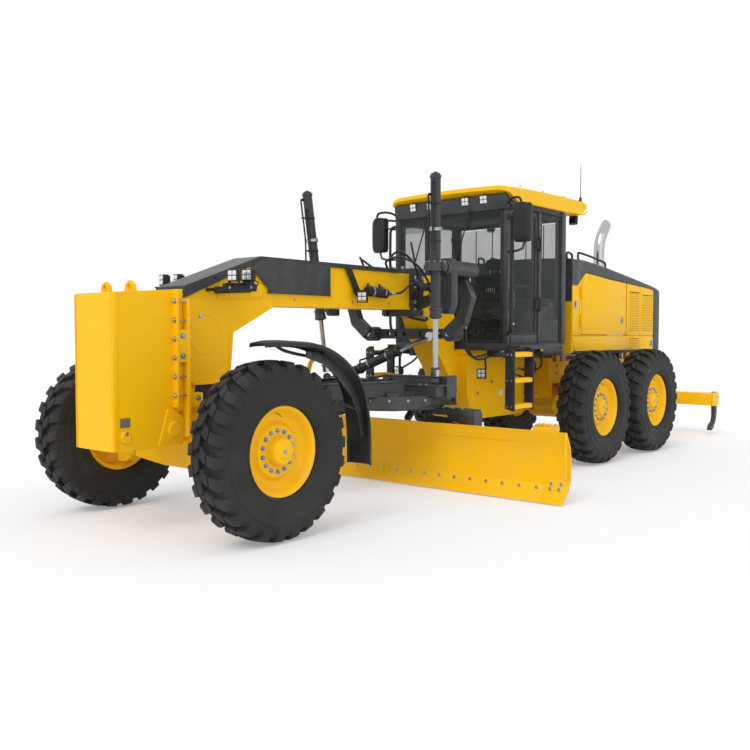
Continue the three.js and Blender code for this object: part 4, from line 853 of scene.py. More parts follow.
def gooseneckTrim(shape):
    # lamp bracket on its yellow pad, with the two lamps that light the blade's path
    shape.slab("x", [(0.235, 1.88), (0.72, 1.905), (0.78, 1.97), (0.7, 2.03), (0.26, 2.015)], 0.16, 0.17,
               0.003)
    shape.slab("x", [(0.2, 1.925), (0.6, 1.95), (0.6, 1.995), (0.2, 1.985)], 0.17, 0.186, 0.004, 1)
    shape.block((0.17, 0.11, 1.942), (0.455, 0.15, 1.968), 0.004, 1)
    shape.block((0.17, 0.3, 1.948), (0.455, 0.34, 1.974), 0.004, 1)
    shape.slab("x", [(0.05, 1.93), (0.42, 1.945), (0.425, 2.0), (0.39, 2.012), (0.06, 1.996)], 0.44, 0.456,
               0.004, 1)
    shape.block((0.44, 0.09, 1.99), (0.52, 0.18, 2.002), 0.003, 1)
    shape.block((0.44, 0.245, 1.998), (0.52, 0.335, 2.01), 0.003, 1)
    lamp(shape, (0.48, 0.13, 2.062), (0.22, -1, 0.0), 0.098, 1, 2)
    lamp(shape, (0.48, 0.285, 2.074), (0.22, -1, 0.0), 0.098, 1, 2)
    shape.pipe([(0.48, 0.2, 2.06), (0.47, 0.26, 2.02), (0.45, 0.4, 2.03), (0.36, 0.52, 2.02),
                (0.24, 0.6, 1.99), (0.18, 0.64, 1.96)], 0.006, 8, 1)
    for y, z in ((0.12, 1.965), (0.35, 1.975)):
        shape.nut((0.456, y, z), (1, 0, 0), 0.01, 0.008, 3)
    shape.nut((0.16, 0.056, 1.734), (1, 0, 0), 0.014, 0.012, 3)
    # ring left by the welded side plate
    shape.band((0.159, 0.1, 1.585), (0.1625, 0.1, 1.585), 0.166, 0.16, 64, 0, 0.001)
    # lower flange that follows the underside, and the joint between plates
    shape.slab("x", [(0.345, 1.27), (0.372, 1.27), (0.402, 1.598), (0.895, 1.838), (3.08, 1.848),
                     (3.08, 1.872), (0.885, 1.864), (0.38, 1.618)], 0.156, 0.172, 0.003)
    for y in (1.15, 1.95, 2.52):
        shape.nut((0.16, y, 1.905), (1, 0, 0), 0.011, 0.009, 3)
    # socket frame low on the nose
    shape.slab("x", [(-0.02, 1.02), (0.3, 1.02), (0.3, 1.17), (0.0, 1.17)], 0.16, 0.166, 0.002, 1)
    shape.slab("x", [(-0.05, 1.165), (0.335, 1.165), (0.335, 1.19), (-0.05, 1.19)], 0.16, 0.2, 0.004)
    shape.slab("x", [(0.31, 1.0), (0.335, 1.0), (0.335, 1.17), (0.31, 1.17)], 0.16, 0.2, 0.004)
    shape.block((0.16, -0.13, 0.985), (0.235, 0.02, 1.105), 0.01)
    shape.nut((0.235, -0.03, 1.06), (1, 0, 0), 0.017, 0.014, 3)
    shape.nut((0.16, -0.1, 0.9), (1, 0, 0), 0.015, 0.014, 3)


bothSides(gooseneckTrim, "gooseneck_trim", "front", ["yellow_paint", "black_plastic", "lamp_face",
                                                     "zinc_nut"])


def coverTrim(shape):
    # the side panel that starts at the kink, screws and the folded joints of the charcoal cover
    shape.slab("x", [(0.848, 1.952), (1.608, 1.952), (1.608, 2.24), (0.735, 2.262), (0.6, 2.17)], 0.1815,
               0.1875, 0.002)
    for y in (0.95, 1.35, 1.75, 2.15, 2.55):
        shape.nut((0.182, y, 2.252), (1, 0, 0), 0.008, 0.006, 1)
    for t in (0.12, 0.38, 0.64, 0.88):
        y = -0.12 + 0.847 * t
        z = 1.935 + (2.254 - 1.935) * t
        shape.nut((0.182, y, z), (1, 0, 0), 0.008, 0.006, 1)
    shape.slab("x", [(1.59, 1.945), (1.606, 1.945), (1.606, 2.235), (1.59, 2.235)], 0.18, 0.188, 0.002)


bothSides(coverTrim, "cover_trim", "front", ["charcoal_paint", "black_plastic"])


def steeringCan(shape):
    # the accumulator that hangs on the beam's side, with its clamps, bracket and lamp
    shape.rod((0.215, 2.1, 2.02), (0.215, 2.42, 2.0), 0.05, 32, 1, 0.012)
    shape.rod((0.215, 2.42, 2.0), (0.215, 2.47, 1.997), 0.022, 20, 3)
    for y in (2.17, 2.35):
        shape.band((0.215, y, 2.016), (0.215, y + 0.02, 2.014), 0.056, 0.05, 32, 3, 0.002)
        shape.block((0.158, y, 1.99), (0.175, y + 0.02, 2.1), 0.003, 1)
        shape.nut((0.215, y + 0.01, 2.07), (0, 0, 1), 0.011, 0.02, 3)
    shape.slab("x", [(1.82, 2.235), (1.9, 2.235), (2.05, 1.985), (1.98, 1.955)], 0.184, 0.198, 0.003, 1)
    shape.block((0.19, 1.93, 1.99), (0.27, 2.0, 2.02), 0.003, 1)
    lamp(shape, (0.285, 1.952, 1.955), (0.55, -1, -0.15), 0.098, 1, 2)


bothSides(steeringCan, "beam_can", "front", ["charcoal_paint", "black_plastic", "lamp_face", "zinc_nut"])

# ---- hoses over the gooseneck and round the saddle ----
hoses = {"beam_hose_a": [(0.24, 2.47, 2.0), (0.3, 2.56, 2.02), (0.34, 2.66, 2.1), (0.36, 2.76, 2.08),
                         (0.3, 2.84, 1.98), (0.222, 2.88, 1.92)],
         "beam_hose_b": [(0.12, 2.6, 2.275), (0.2, 2.5, 2.38), (0.27, 2.56, 2.44), (0.33, 2.68, 2.36),
                         (0.31, 2.82, 2.22), (0.222, 2.9, 2.16)],
         "beam_hose_c": [(0.06, 2.62, 2.275), (0.16, 2.48, 2.34), (0.3, 2.52, 2.38), (0.42, 2.66, 2.3),
                         (0.44, 2.84, 2.12), (0.4, 2.92, 1.99)],
         "beam_hose_d": [(-0.1, 2.61, 2.275), (-0.2, 2.5, 2.38), (-0.3, 2.6, 2.4), (-0.36, 2.76, 2.26),
                         (-0.34, 2.9, 2.0)], "lock_hose_a": [(0.2, 3.04, 1.79), (0.24, 3.08, 1.755),
                                                             (0.18, 3.1, 1.735), (0.05, 3.11, 1.755),
                                                             (-0.06, 3.06, 1.79)],
         "under_cab_hose_a": [(0.285, 3.7, 1.72), (0.33, 3.62, 1.58), (0.37, 3.62, 1.42), (0.42, 3.7, 1.33),
                              (0.52, 3.82, 1.36), (0.6, 3.92, 1.405)],
         "under_cab_hose_b": [(0.285, 3.76, 1.68), (0.34, 3.68, 1.54), (0.39, 3.66, 1.4), (0.45, 3.74, 1.3),
                              (0.56, 3.86, 1.34), (0.64, 3.98, 1.405)],
         "under_cab_hose_c": [(-0.285, 3.7, 1.72), (-0.34, 3.62, 1.56), (-0.4, 3.64, 1.38),
                              (-0.52, 3.8, 1.34), (-0.6, 3.92, 1.405)],
         "rear_hose_a": [(0.62, 4.7, 1.41), (0.66, 4.8, 1.3), (0.6, 4.88, 1.18), (0.46, 4.9, 1.14),
                         (0.31, 4.84, 1.16)], "rear_hose_b": [(0.55, 4.6, 1.41), (0.62, 4.72, 1.26),
                                                              (0.55, 4.82, 1.1), (0.42, 4.84, 1.06),
                                                              (0.3, 4.8, 1.08)],
         "rear_hose_c": [(-0.55, 4.6, 1.41), (-0.62, 4.72, 1.26), (-0.55, 4.82, 1.1), (-0.3, 4.8, 1.08)],}
for name, route in hoses.items():
    shape = Shape()
    shape.pipe(route, 0.012, 12, 0, 8)
    for end, near in ((route[0], route[1]), (route[-1], route[-2])):
        way = (Vector(near) - Vector(end)).normalized()
        shape.rod(Vector(end), Vector(end) + way * 0.045, 0.0165, 16, 1)
        shape.lathe([(0, 0), (0, 0.021), (0.016, 0.021), (0.016, 0)], Vector(end), way, 6, 1)
    shape.done(name, "front", ["hose_rubber", "zinc_nut"])
print("front frame ready")


# ---- fenders on the steered wheels ----
fender = {"in": 0.985, "out": 1.25, "thick": 0.012,
          "line": [(-0.181, 1.524), (-0.06, 1.534), (0.112, 1.53), (0.42, 1.5), (0.7, 1.37), (0.905, 1.153),
                   (0.985, 0.85), (0.998, 0.49)]}


def fenderSkin(shape):
    # a moulded guard: crowned across, its edges rolled down, with pressed ribs
    line = curveThrough([(0, y, z) for y, z in fender["line"]], 7)
    widths = [0.0, 0.012, 0.03, 0.06, 0.12, 0.2, 0.3, 0.42, 0.5, 0.58, 0.7, 0.8, 0.88, 0.94, 0.97, 0.988, 1.0]
    rows = []
    count = len(line)
    for i, spot in enumerate(line):
        ahead = (line[min(i + 1, count - 1)] - line[max(i - 1, 0)]).normalized()
        out = Vector((0, -ahead.z, ahead.y))
        if out.z < 0 and abs(out.z) > abs(out.y):
            out = -out
        if out.dot(spot - Vector((0, 0, wheelZ))) < 0:
            out = -out
        share = i / (count - 1)
        nose = min(1.0, share / 0.1)
        trim = 0.09 * (1 - nose) ** 2
        row = []
        for w in widths:
            x = fender["in"] + (fender["out"] - fender["in"]) * w
            x += trim * (0.5 - w)
            edge = min(w, 1 - w)
            roll = -0.03 * max(0.0, 1 - edge / 0.05) ** 2
            crown = -0.01 * (2 * w - 1) ** 2
            rib = 0.005 if 0.26 < w < 0.44 or 0.56 < w < 0.74 else 0.0
            row.append(spot + out * (crown + roll + rib * min(1.0, share * 8,
                                                              (1 - share) * 8)) + Vector((x, 0, 0)))
        rows.append(row)
    shape.grid(rows, fender["thick"])


def fenderBracket(shape):
    # the perforated stay below the guard and its three bent tubes
    shape.slab("x", [(0.3, 1.455), (0.52, 1.415), (0.72, 1.29), (0.88, 1.115), (0.955, 0.93), (0.99, 0.72),
                     (0.955, 0.72), (0.91, 0.9), (0.83, 1.06), (0.66, 1.23), (0.5, 1.34), (0.3, 1.4)],
               1.15, 1.162, 0.002, 1)
    for y, z in ((0.38, 1.425), (0.5, 1.385), (0.62, 1.31), (0.73, 1.215), (0.83, 1.1), (0.9, 0.97),
                 (0.94, 0.83)):
        shape.band((1.146, y, z), (1.168, y, z), 0.02, 0.011, 20, 1, 0.002)
    shape.pipe([(0.985, 0.62, 1.395), (1.02, 0.4, 1.415), (1.06, 0.16, 1.455), (1.1, 0.02, 1.5)], 0.013, 12,
               1)
    shape.pipe([(1.02, 0.6, 1.385), (1.1, 0.52, 1.395), (1.156, 0.46, 1.4)], 0.014, 12, 1)
    shape.pipe([(1.156, 0.93, 0.95), (1.1, 0.86, 0.98), (1.04, 0.8, 1.02)], 0.012, 12, 1)


for hand, side in hands.items():
    shape = Shape()
    fenderSkin(shape)
    fenderBracket(shape)
    if side < 0:
        shape.mirrored()
    piece = shape.done(f"fender_guard_{hand}", f"knuckle_{hand}", ["black_plastic", "charcoal_paint"],
                       smooth=40)
    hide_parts(f"fender_{hand}")
print("fenders ready")

# ---- lift cylinders and their saddle ----
lift = {"yoke": (0.823, 2.44, 2.25), "eye": (0.752, 2.54, 1.11), "barrel": 0.052}
liftDown = (Vector(lift["eye"]) - Vector(lift["yoke"])).normalized()
liftSide = liftDown.cross(Vector((0, 1, 0))).normalized()
liftBack = liftSide.cross(liftDown).normalized()


def liftAt(s, out=0.0, back=0.0):
    return Vector(lift["yoke"]) + liftDown * s + liftSide * out + liftBack * back


def liftBarrelTrim(shape):
    r = lift["barrel"]
    shape.rod(liftAt(-0.904), liftAt(-0.88), r * 0.9, 32, 0, 0.008)
    shape.band(liftAt(-0.884), liftAt(-0.858), r + 0.005, r - 0.002, 32, 0)
    shape.nut(liftAt(-0.904), -liftDown, 0.02, 0.012, 2)
    shape.band(liftAt(-0.384), liftAt(-0.352), r + 0.0125, r - 0.002, 32, 1)  # the bright clamp ring
    shape.block((-0.012, -0.012, -0.02), (0.012, 0.012, 0.02), 0.003, 1,
                Matrix.Translation(liftAt(-0.368, 0, -0.066)))
    for s in (0.402, 0.478):
        shape.band(liftAt(s), liftAt(s + 0.024), r + 0.013, 0.03, 32, 0)
    for c, s in around(8):
        shape.nut(liftAt(0.502, 0.046 * c, 0.046 * s), liftDown, 0.008, 0.008, 2, 1.2)
    shape.rod(liftAt(0.5), liftAt(0.515), 0.034, 32, 0, 0.004)
    # the two lines along the barrel, from the ports to their clamps
    for side, top in ((0.026, -0.82), (-0.026, -0.7)):
        shape.pipe([liftAt(top, side, -r - 0.001), liftAt(top + 0.01, side, -r - 0.03),
                    liftAt(top + 0.05, side, -r - 0.03), liftAt(-0.4, side, -r - 0.026),
                    liftAt(-0.16, side * 1.6, -r - 0.038)], 0.0095, 10, 2, 8)
        shape.rod(liftAt(top, side, -r + 0.004), liftAt(top, side, -r - 0.022), 0.016, 16, 2)
    for s in (-0.62, -0.26):
        shape.band(liftAt(s), liftAt(s + 0.016), r + 0.006, r - 0.002, 32, 2, 0.001)
        shape.block((-0.044, -0.01, -0.008), (0.044, 0.01, 0.008), 0.003, 2,
                    Matrix.Translation(liftAt(s, 0, -r - 0.028)))


def liftRodTrim(shape):
    reach = (Vector(lift["eye"]) - Vector(lift["yoke"])).length - 0.055
    shape.rod(liftAt(reach - 0.08), liftAt(reach - 0.068), 0.05, 28, 0)
    for c, s in around(6, 0.3):
        shape.nut(liftAt(reach - 0.068, 0.037 * c, 0.037 * s), liftDown * -1, 0.007, 0.02, 0, 1.1)


def yokeTrim(shape):
    x, y, z = lift["yoke"]
    for s in (-1, 1):
        shape.lathe([(0, 0), (0, 0.04), (0.01, 0.04), (0.018, 0.03), (0.022, 0)], (x + s * 0.108, y, z),
                    (s, 0, 0), 32)
        for a in (0.8, 2.4, 3.9, 5.5):
            shape.nut((x + s * 0.118, y + 0.03 * cos(a), z + 0.03 * sin(a)), (s, 0, 0), 0.006, 0.006, 1, 1.1)
    for c, s in around(10, 0.2):  # clamp bolts round the yoke's rim
        shape.nut((x + 0.095 * c, y + 0.095 * s, z + 0.045), (0, 0, 1), 0.009, 0.009, 1, 1.2)


def saddleTrim(shape):
    # the cast side plate behind the lift cylinder
    shape.slab("y", [(0.745, 2.35), (0.85, 2.35), (0.88, 2.305), (0.885, 1.88), (0.845, 1.79),
                     (0.74, 1.79), (0.738, 1.95), (0.722, 2.1), (0.7, 2.29)],
               2.63, 2.745, 0.02)
    shape.slab("y", [(0.765, 2.31), (0.838, 2.31), (0.852, 2.28), (0.856, 1.9), (0.83, 1.83), (0.775, 1.83),
                     (0.775, 1.96), (0.758, 2.12)], 2.618, 2.632, 0.006)
    shape.slab("x", [(2.7, 2.19), (3.0, 2.175), (3.0, 2.32), (2.7, 2.33)], 0.7, 0.8, 0.014)
    # the pin's cap, the arms' thick ends, and the bolts and bushes of the lock bar
    shape.lathe([(0, 0), (0, 0.072), (0.012, 0.08), (0.06, 0.08), (0.07, 0.07), (0.07, 0)],
                (0.783, 3.09, 2.25), (0, 1, 0), 40)
    for c, s in around(6):
        shape.nut((0.783 + 0.052 * c, 3.16, 2.25 + 0.052 * s), (0, 1, 0), 0.01, 0.009, 1)
    shape.band((0.56, 3.026, 1.59), (0.56, 3.196, 1.59), 0.082, 0.03, 40, 0, 0.006)
    shape.lathe([(0, 0), (0, 0.036), (0.012, 0.03), (0.012, 0)], (0.56, 3.02, 1.59), (0, -1, 0), 28, 1)
    for y in (2.866, 3.034):
        for z in (1.86, 1.97, 2.08, 2.19):
            shape.nut((0.22, y + (0.02 if y < 2.9 else -0.02), z), (1, 0, 0), 0.015, 0.014, 1)
    for y in (2.875, 3.025):
        for x in (0.06, 0.17):
            shape.nut((x, y, 2.29 + 0.012), (0, 0, 1), 0.015, 0.014, 1)
    for x in (0.115, 0.23, 0.345):
        shape.band((x, 3.122, 1.59), (x, 3.178, 1.59), 0.04, 0.0285, 28, 0, 0.003)
    # valve block and its pipes on the arm
    shape.block((0.3, 2.87, 2.045), (0.47, 2.98, 2.125), 0.006)
    for x in (0.325, 0.365, 0.405, 0.445):
        shape.rod((x, 2.872, 2.085), (x, 2.842, 2.085), 0.013, 14, 1)
        shape.pipe([(x, 2.845, 2.085), (x, 2.8, 2.08), (x - 0.03, 2.77, 2.03), (x - 0.09, 2.79, 1.98),
                    (0.225, 2.84, 1.97)], 0.01, 10, 2, 6)


bothSides(liftBarrelTrim, "lift_barrel_trim", "lift_barrel_{hand}",
          ["charcoal_paint", "bare_steel", "black_plastic"])
bothSides(liftRodTrim, "lift_rod_foot_trim", "lift_rod_{hand}", ["charcoal_paint"])
bothSides(yokeTrim, "yoke_trim", "yoke_{hand}", ["charcoal_paint", "zinc_nut"])
bothSides(saddleTrim, "saddle_trim", "front", ["charcoal_paint", "zinc_nut", "hose_rubber"])


# ---- drawbar and circle ----
circleLook = {"y": 2.67, "outer": 0.7, "teeth": 96}


def drawbarTrim(shape, boxTop):
    # the socket's bolts and the flanges along the two legs
    for z in (1.03, 1.078):
        for i in range(5):
            shape.nut((0.104, 0.55 + i * 0.035, z - 0.02), (1, 0, 0), 0.01, 0.008, 1)
    legs = [((0.05, 0.66), (0.15, 1.5)), ((0.15, 1.5), (0.48, 2.33))]
    for (ax, ay), (bx, by) in legs:
        way = Vector((bx - ax, by - ay, 0)).normalized()
        out = Vector((way.y, -way.x, 0)) * 0.062
        lift0 = 1.052 if ay < 1 else 1.094
        lift1 = 1.094 if ay < 1 else 1.102
        line = [Vector((ax, ay, lift0)) + out, Vector((bx, by, lift1)) + out,
                Vector((bx, by, lift1)) - out * 0.9, Vector((ax, ay, lift0)) - out * 0.9]
        part = bmesh.new()
        low = [part.verts.new(p) for p in line]
        high = [part.verts.new(p + Vector((0, 0, 0.014))) for p in line]
        part.faces.new(low[::-1])
        part.faces.new(high)
        for i in range(4):
            part.faces.new((low[i], low[(i + 1) % 4], high[(i + 1) % 4], high[i]))
        bmesh.ops.recalc_face_normals(part, faces=part.faces)
        shape.bevelled(part, 0.003)
        shape.take(part)
    shape.slab("z", [(0.4, 2.44), (0.86, 2.44), (0.86, 2.64), (0.6, 2.78), (0.4, 2.78)], 1.062, 1.076, 0.003)
    shape.lathe([(0, 0), (0, 0.068), (0.018, 0.068), (0.03, 0.05), (0.03, 0.036)], (0.752, 2.54, 1.05),
                (0, 0, 1), 36)
    for c, s in around(8):
        shape.nut((0.752 + 0.056 * c, 2.54 + 0.056 * s, 1.068), (0, 0, 1), 0.008, 0.008, 1, 1.2)
    for x in (0.6, 0.68):
        shape.nut((x, 2.48, 1.076), (0, 0, 1), 0.012, 0.01, 1)
    # the deep box behind the balls, with its end plate and top flange
    shape.block((0.0, 2.606, 0.958), (0.85, 2.735, boxTop), 0.012)
    shape.block((0.0, 2.598, boxTop - 0.008), (0.858, 2.745, boxTop + 0.006), 0.003)
    shape.block((0.846, 2.59, 0.94), (0.862, 2.76, boxTop + 0.018), 0.006)
    for x in (0.12, 0.34, 0.56, 0.8):
        shape.nut((x, 2.66, boxTop + 0.006), (0, 0, 1), 0.013, 0.011, 1)
    # a small lifting ring
    shape.pipe([(0.3, 2.02, 1.105), (0.3, 2.02, 1.15), (0.33, 2.06, 1.166), (0.36, 2.1, 1.15),
                (0.36, 2.1, 1.105)], 0.009, 10, 0, 6)


def driveTrim(shape):
    # the circle's drive, low enough to pass under the side-shift cylinder, with two hoses running forward
    shape.lathe([(0, 0), (0, 0.118), (0.006, 0.126), (0.014, 0.126), (0.02, 0.11), (0.02, 0)],
                (0, 3.045, 1.088), (0, 0, 1), 48)
    shape.lathe([(0, 0), (0, 0.062), (0.006, 0.066), (0.014, 0.066), (0.02, 0.052), (0.02, 0)],
                (0, 3.045, 1.108), (0, 0, 1), 36)
    for c, s in around(10):
        shape.nut((0.11 * c, 3.045 + 0.11 * s, 1.102), (0, 0, 1), 0.01, 0.01, 1, 1.2)
    for side in (-1, 1):
        shape.rod((side * 0.03, 2.985, 1.116), (side * 0.03, 2.945, 1.116), 0.012, 16, 1)
        shape.pipe([(side * 0.03, 2.955, 1.116), (side * 0.035, 2.86, 1.114), (side * 0.08, 2.7, 1.13),
                    (side * 0.2, 2.4, 1.085), (side * 0.26, 2.1, 1.12), (side * 0.16, 1.7, 1.118),
                    (side * 0.12, 1.3, 1.105), (side * 0.1, 0.86, 1.1)], 0.011, 10, 2, 8)
    for y in (1.02, 1.45):
        shape.block((-0.15, y, 1.085), (0.15, y + 0.03, 1.1), 0.003)


def circleTrim(shape):
    # teeth round the inside, and wear strips above and below
    r, y = circleLook["outer"], circleLook["y"]
    for i in range(circleLook["teeth"]):
        a = 2 * pi * i / circleLook["teeth"]
        turn = Matrix.Translation((0, y, 0)) @ Matrix.Rotation(a, 4, "Z")
        shape.block((r - 0.166, -0.011, 0.872), (r - 0.146, 0.011, 0.918), 0.004, 0, turn)
    shape.band((0, y, 0.862), (0, y, 0.872), r + 0.006, r - 0.05, 96, 0, 0.002)
    shape.band((0, y, 0.905), (0, y, 0.925), r + 0.004, r - 0.01, 96, 0, 0.002)
    shape.band((0, y, 0.813), (0, y, 0.871), 0.628, 0.572, 96, 0, 0.003)


def legTrim(shape):
    for y in (2.864, 3.0):
        shape.slab("y", [(0.56, 0.812), (0.965, 0.812), (0.965, 0.7), (0.9, 0.735), (0.7, 0.742),
                         (0.56, 0.742)], y, y + 0.012, 0.003)
    shape.slab("y", [(0.66, 0.742), (0.985, 0.742), (0.985, 0.47), (0.955, 0.47), (0.9, 0.64), (0.66, 0.7)],
               2.872, 2.89, 0.003)
    shape.lathe([(0, 0), (0, 0.07), (0.01, 0.078), (0.02, 0.07), (0.02, 0)], (1.004, 2.92, 0.4), (1, 0, 0),
                40)
    shape.lathe([(0, 0), (0, 0.042), (0.01, 0.036), (0.01, 0)], (1.024, 2.92, 0.4), (1, 0, 0), 32, 1)
    for c, s in around(6):
        shape.nut((1.024, 2.92 + 0.058 * c, 0.4 + 0.058 * s), (1, 0, 0), 0.009, 0.008, 1, 1.2)
    for y in (2.885, 2.99):
        for x in (0.6, 0.72, 0.84):
            shape.nut((x, y, 0.812), (0, 0, 1), 0.013, 0.011, 1)


def circleGuard(shape):
    # the apron that hangs from the drawbar round the front of the circle
    rows = []
    for i in range(29):
        a = radians(-166 + 152 * i / 28)
        end = min(i, 28 - i) / 28
        low = 0.84 + 0.045 * max(0.0, 1 - end * 9) ** 2
        rows.append([(r * cos(a), circleLook["y"] + r * sin(a), z) for r,
                     z in ((0.752, low), (0.77, low + 0.004), (0.772, 0.9), (0.772, 0.95), (0.764, 0.96),
                           (0.7, 0.9645))])
    shape.grid(rows, 0.01)
    for i in range(11):
        a = radians(-160 + 140 * i / 10)
        shape.nut((0.772 * cos(a), circleLook["y"] + 0.772 * sin(a), 0.925), (cos(a), sin(a), 0), 0.01,
                  0.008, 1)


shape = Shape()
drawbarTrim(shape, 1.15)
shape.done("drawbar_trim_left", "drawbar", ["charcoal_paint", "zinc_nut"])
shape = Shape()
drawbarTrim(shape, 1.095)  # lower on the right, where the side-shift cylinder is fixed
shape.mirrored().done("drawbar_trim_right", "drawbar", ["charcoal_paint", "zinc_nut"])
onePiece(circleGuard, "circle_guard", "drawbar", ["charcoal_paint", "zinc_nut"])
bothSides(legTrim, "circle_leg_trim", "circle", ["charcoal_paint", "zinc_nut"])
onePiece(driveTrim, "circle_drive", "drawbar", ["charcoal_paint", "zinc_nut", "hose_rubber"])
onePiece(circleTrim, "circle_teeth", "circle", ["charcoal_paint"])


def shiftTrim(shape):
    base = Vector((-0.5, 2.76, 1.185))
    end = Vector((0.35, 2.985, 1.56))
    way = (end - base).normalized()
    for s in (0.035, 0.53):
        shape.band(base + way * s, base + way * (s + 0.035), 0.06, 0.048 if s < 0.1 else 0.03, 32, 0)
    for s in (0.16, 0.4):
        shape.band(base + way * s, base + way * (s + 0.018), 0.056, 0.049, 32, 1, 0.001)
    up = Vector((0, 0, 1)) - way * way.z
    up.normalize()
    shape.pipe([base + way * 0.07 + up * 0.05, base + way * 0.08 + up * 0.085,
                base + way * 0.16 + up * 0.078, base + way * 0.42 + up * 0.078,
                base + way * 0.5 + up * 0.085, base + way * 0.515 + up * 0.05], 0.01, 10, 2, 8)


onePiece(shiftTrim, "shift_cylinder_trim", "shift_cylinder", ["charcoal_paint", "zinc_nut", "black_plastic"])

# ---- blade ----
bladeLook = {"half": 2.135, "bolts": 20, "edge": [(2.756, 0.166), (2.732, 0.109), (2.64, 0.034),
                                                  (2.622, 0.012)], "thick": 0.01, "endBit": 0.235}


def bladeEdge(shape):
    # cutting edges in two lengths, an end bit at each end, and the bolts that hold them
    half, end, t = bladeLook["half"], bladeLook["endBit"], bladeLook["thick"]
    front = [(y - t * 0.92, z + t * 0.4) for y, z in bladeLook["edge"]]
    outline = bladeLook["edge"] + front[::-1]
    for low, high in ((-half + end + 0.002, -0.0015), (0.0015, half - end - 0.002)):
        shape.slab("x", outline, low, high, 0.002)
    tall = [(2.78, 0.216), (2.732, 0.109), (2.64, 0.034), (2.622, 0.01)]
    front = [(y - t * 1.25, z + t * 0.5) for y, z in tall]
    for side in (-1, 1):
        spans = sorted((side * (half + 0.001), side * (half - end)))
        shape.slab("x", tall + front[::-1], spans[0], spans[1], 0.003)
    facing = Vector((0, -0.912, 0.409))
    for i in range(bladeLook["bolts"]):
        x = -half + end + 0.09 + (2 * (half - end) - 0.18) * i / (bladeLook["bolts"] - 1)
        shape.lathe([(0, 0), (0, 0.0165), (0.006, 0.0165), (0.009, 0.012), (0.009, 0)],
                    Vector((x, 2.739, 0.1275)) + facing * t, facing, 20, 1)
        shape.nut((x, 2.762, 0.128), (0, 0.912, -0.409), 0.016, 0.014, 1, 1.4, 0.008)
    for side in (-1, 1):
        for x, y, z in ((2.05, 2.739, 0.1275), (1.955, 2.739, 0.1275), (2.06, 2.76, 0.175),
                        (1.955, 2.76, 0.175)):
            shape.lathe([(0, 0), (0, 0.0165), (0.006, 0.0165), (0.009, 0.012), (0.009, 0)],
                        Vector((side * x, y, z)) + facing * t * 1.35, facing, 20, 1)


def bladeBackTrim(shape):
    # ribs behind the curved sheet, the rails' wear strips and the yellow bracket on top
    for x in (0.3, 0.9, 1.45):
        shape.slab("x", [(2.806, 0.24), (2.828, 0.24), (2.828, 0.556), (2.766, 0.556), (2.79, 0.45),
                         (2.804, 0.33)], x - 0.008, x + 0.008, 0.002)
    for low in (0.232, 0.556):
        shape.block((0.1, 2.824, low), (1.49, 2.831, low + 0.008), 0.002, 1)
    shape.block((1.79, 2.76, 0.704), (1.95, 2.8, 0.736), 0.004)
    shape.slab("x", [(2.7, 0.706), (2.89, 0.706), (2.89, 0.716), (2.7, 0.716)], 1.78, 1.96, 0.002)
    for x in (1.805, 1.87, 1.935):
        for y in (2.725, 2.86):
            shape.nut((x, y, 0.716), (0, 0, 1), 0.014, 0.014, 1)
    shape.slab("x", [(2.86, 0.6), (2.89, 0.6), (2.89, 0.66), (2.7, 0.66), (2.705, 0.64)], 1.79, 1.806, 0.002)
    shape.block((2.118, 2.69, 0.24), (2.138, 2.712, 0.672), 0.003)


onePiece(bladeEdge, "blade_edges", "blade", ["yellow_paint", "zinc_nut"])
bothSides(bladeBackTrim, "blade_back_trim", "blade", ["yellow_paint", "bare_steel"])
print("blade and drawbar ready")

# ---- cab ----
cab = {"floor": 1.4705, "door": (3.88, 4.47), "doorZ": (1.473, 2.99)}


def doorTrim(shape):
    # the pane with its dark border, the seal round it, the latch and the grab bar inside
    front, rear = cab["door"]
    low, high = cab["doorZ"]
    shape.block((0.7905, front + 0.048, low + 0.112), (0.7935, rear - 0.048, high - 0.052), 0.001, 1)
    for a, b in (((front + 0.044, low + 0.108), (front + 0.068, high - 0.048)),
                 ((rear - 0.068, low + 0.108), (rear - 0.044, high - 0.048)),
                 ((front + 0.068, low + 0.108), (rear - 0.068, low + 0.135)),
                 ((front + 0.068, high - 0.075), (rear - 0.068, high - 0.048))):
        shape.block((0.7935, a[0], a[1]), (0.7975, b[0], b[1]), 0.001, 2)
    shape.block((0.7905, front + 0.008, low + 0.01), (0.798, rear - 0.008, low + 0.1), 0.004, 0)
    shape.block((0.795, front + 0.012, 1.6), (0.812, front + 0.042, 1.76), 0.004, 2)
    shape.rod((0.8, front + 0.027, 1.7), (0.826, front + 0.027, 1.7), 0.014, 16, 3)
    shape.block((0.7, front + 0.04, 2.12), (0.735, rear - 0.06, 2.15), 0.006, 2)
    shape.block((0.735, front + 0.03, 2.11), (0.765, front + 0.065, 2.16), 0.004, 2)
    shape.block((0.735, rear - 0.07, 2.11), (0.765, rear - 0.04, 2.16), 0.004, 2)


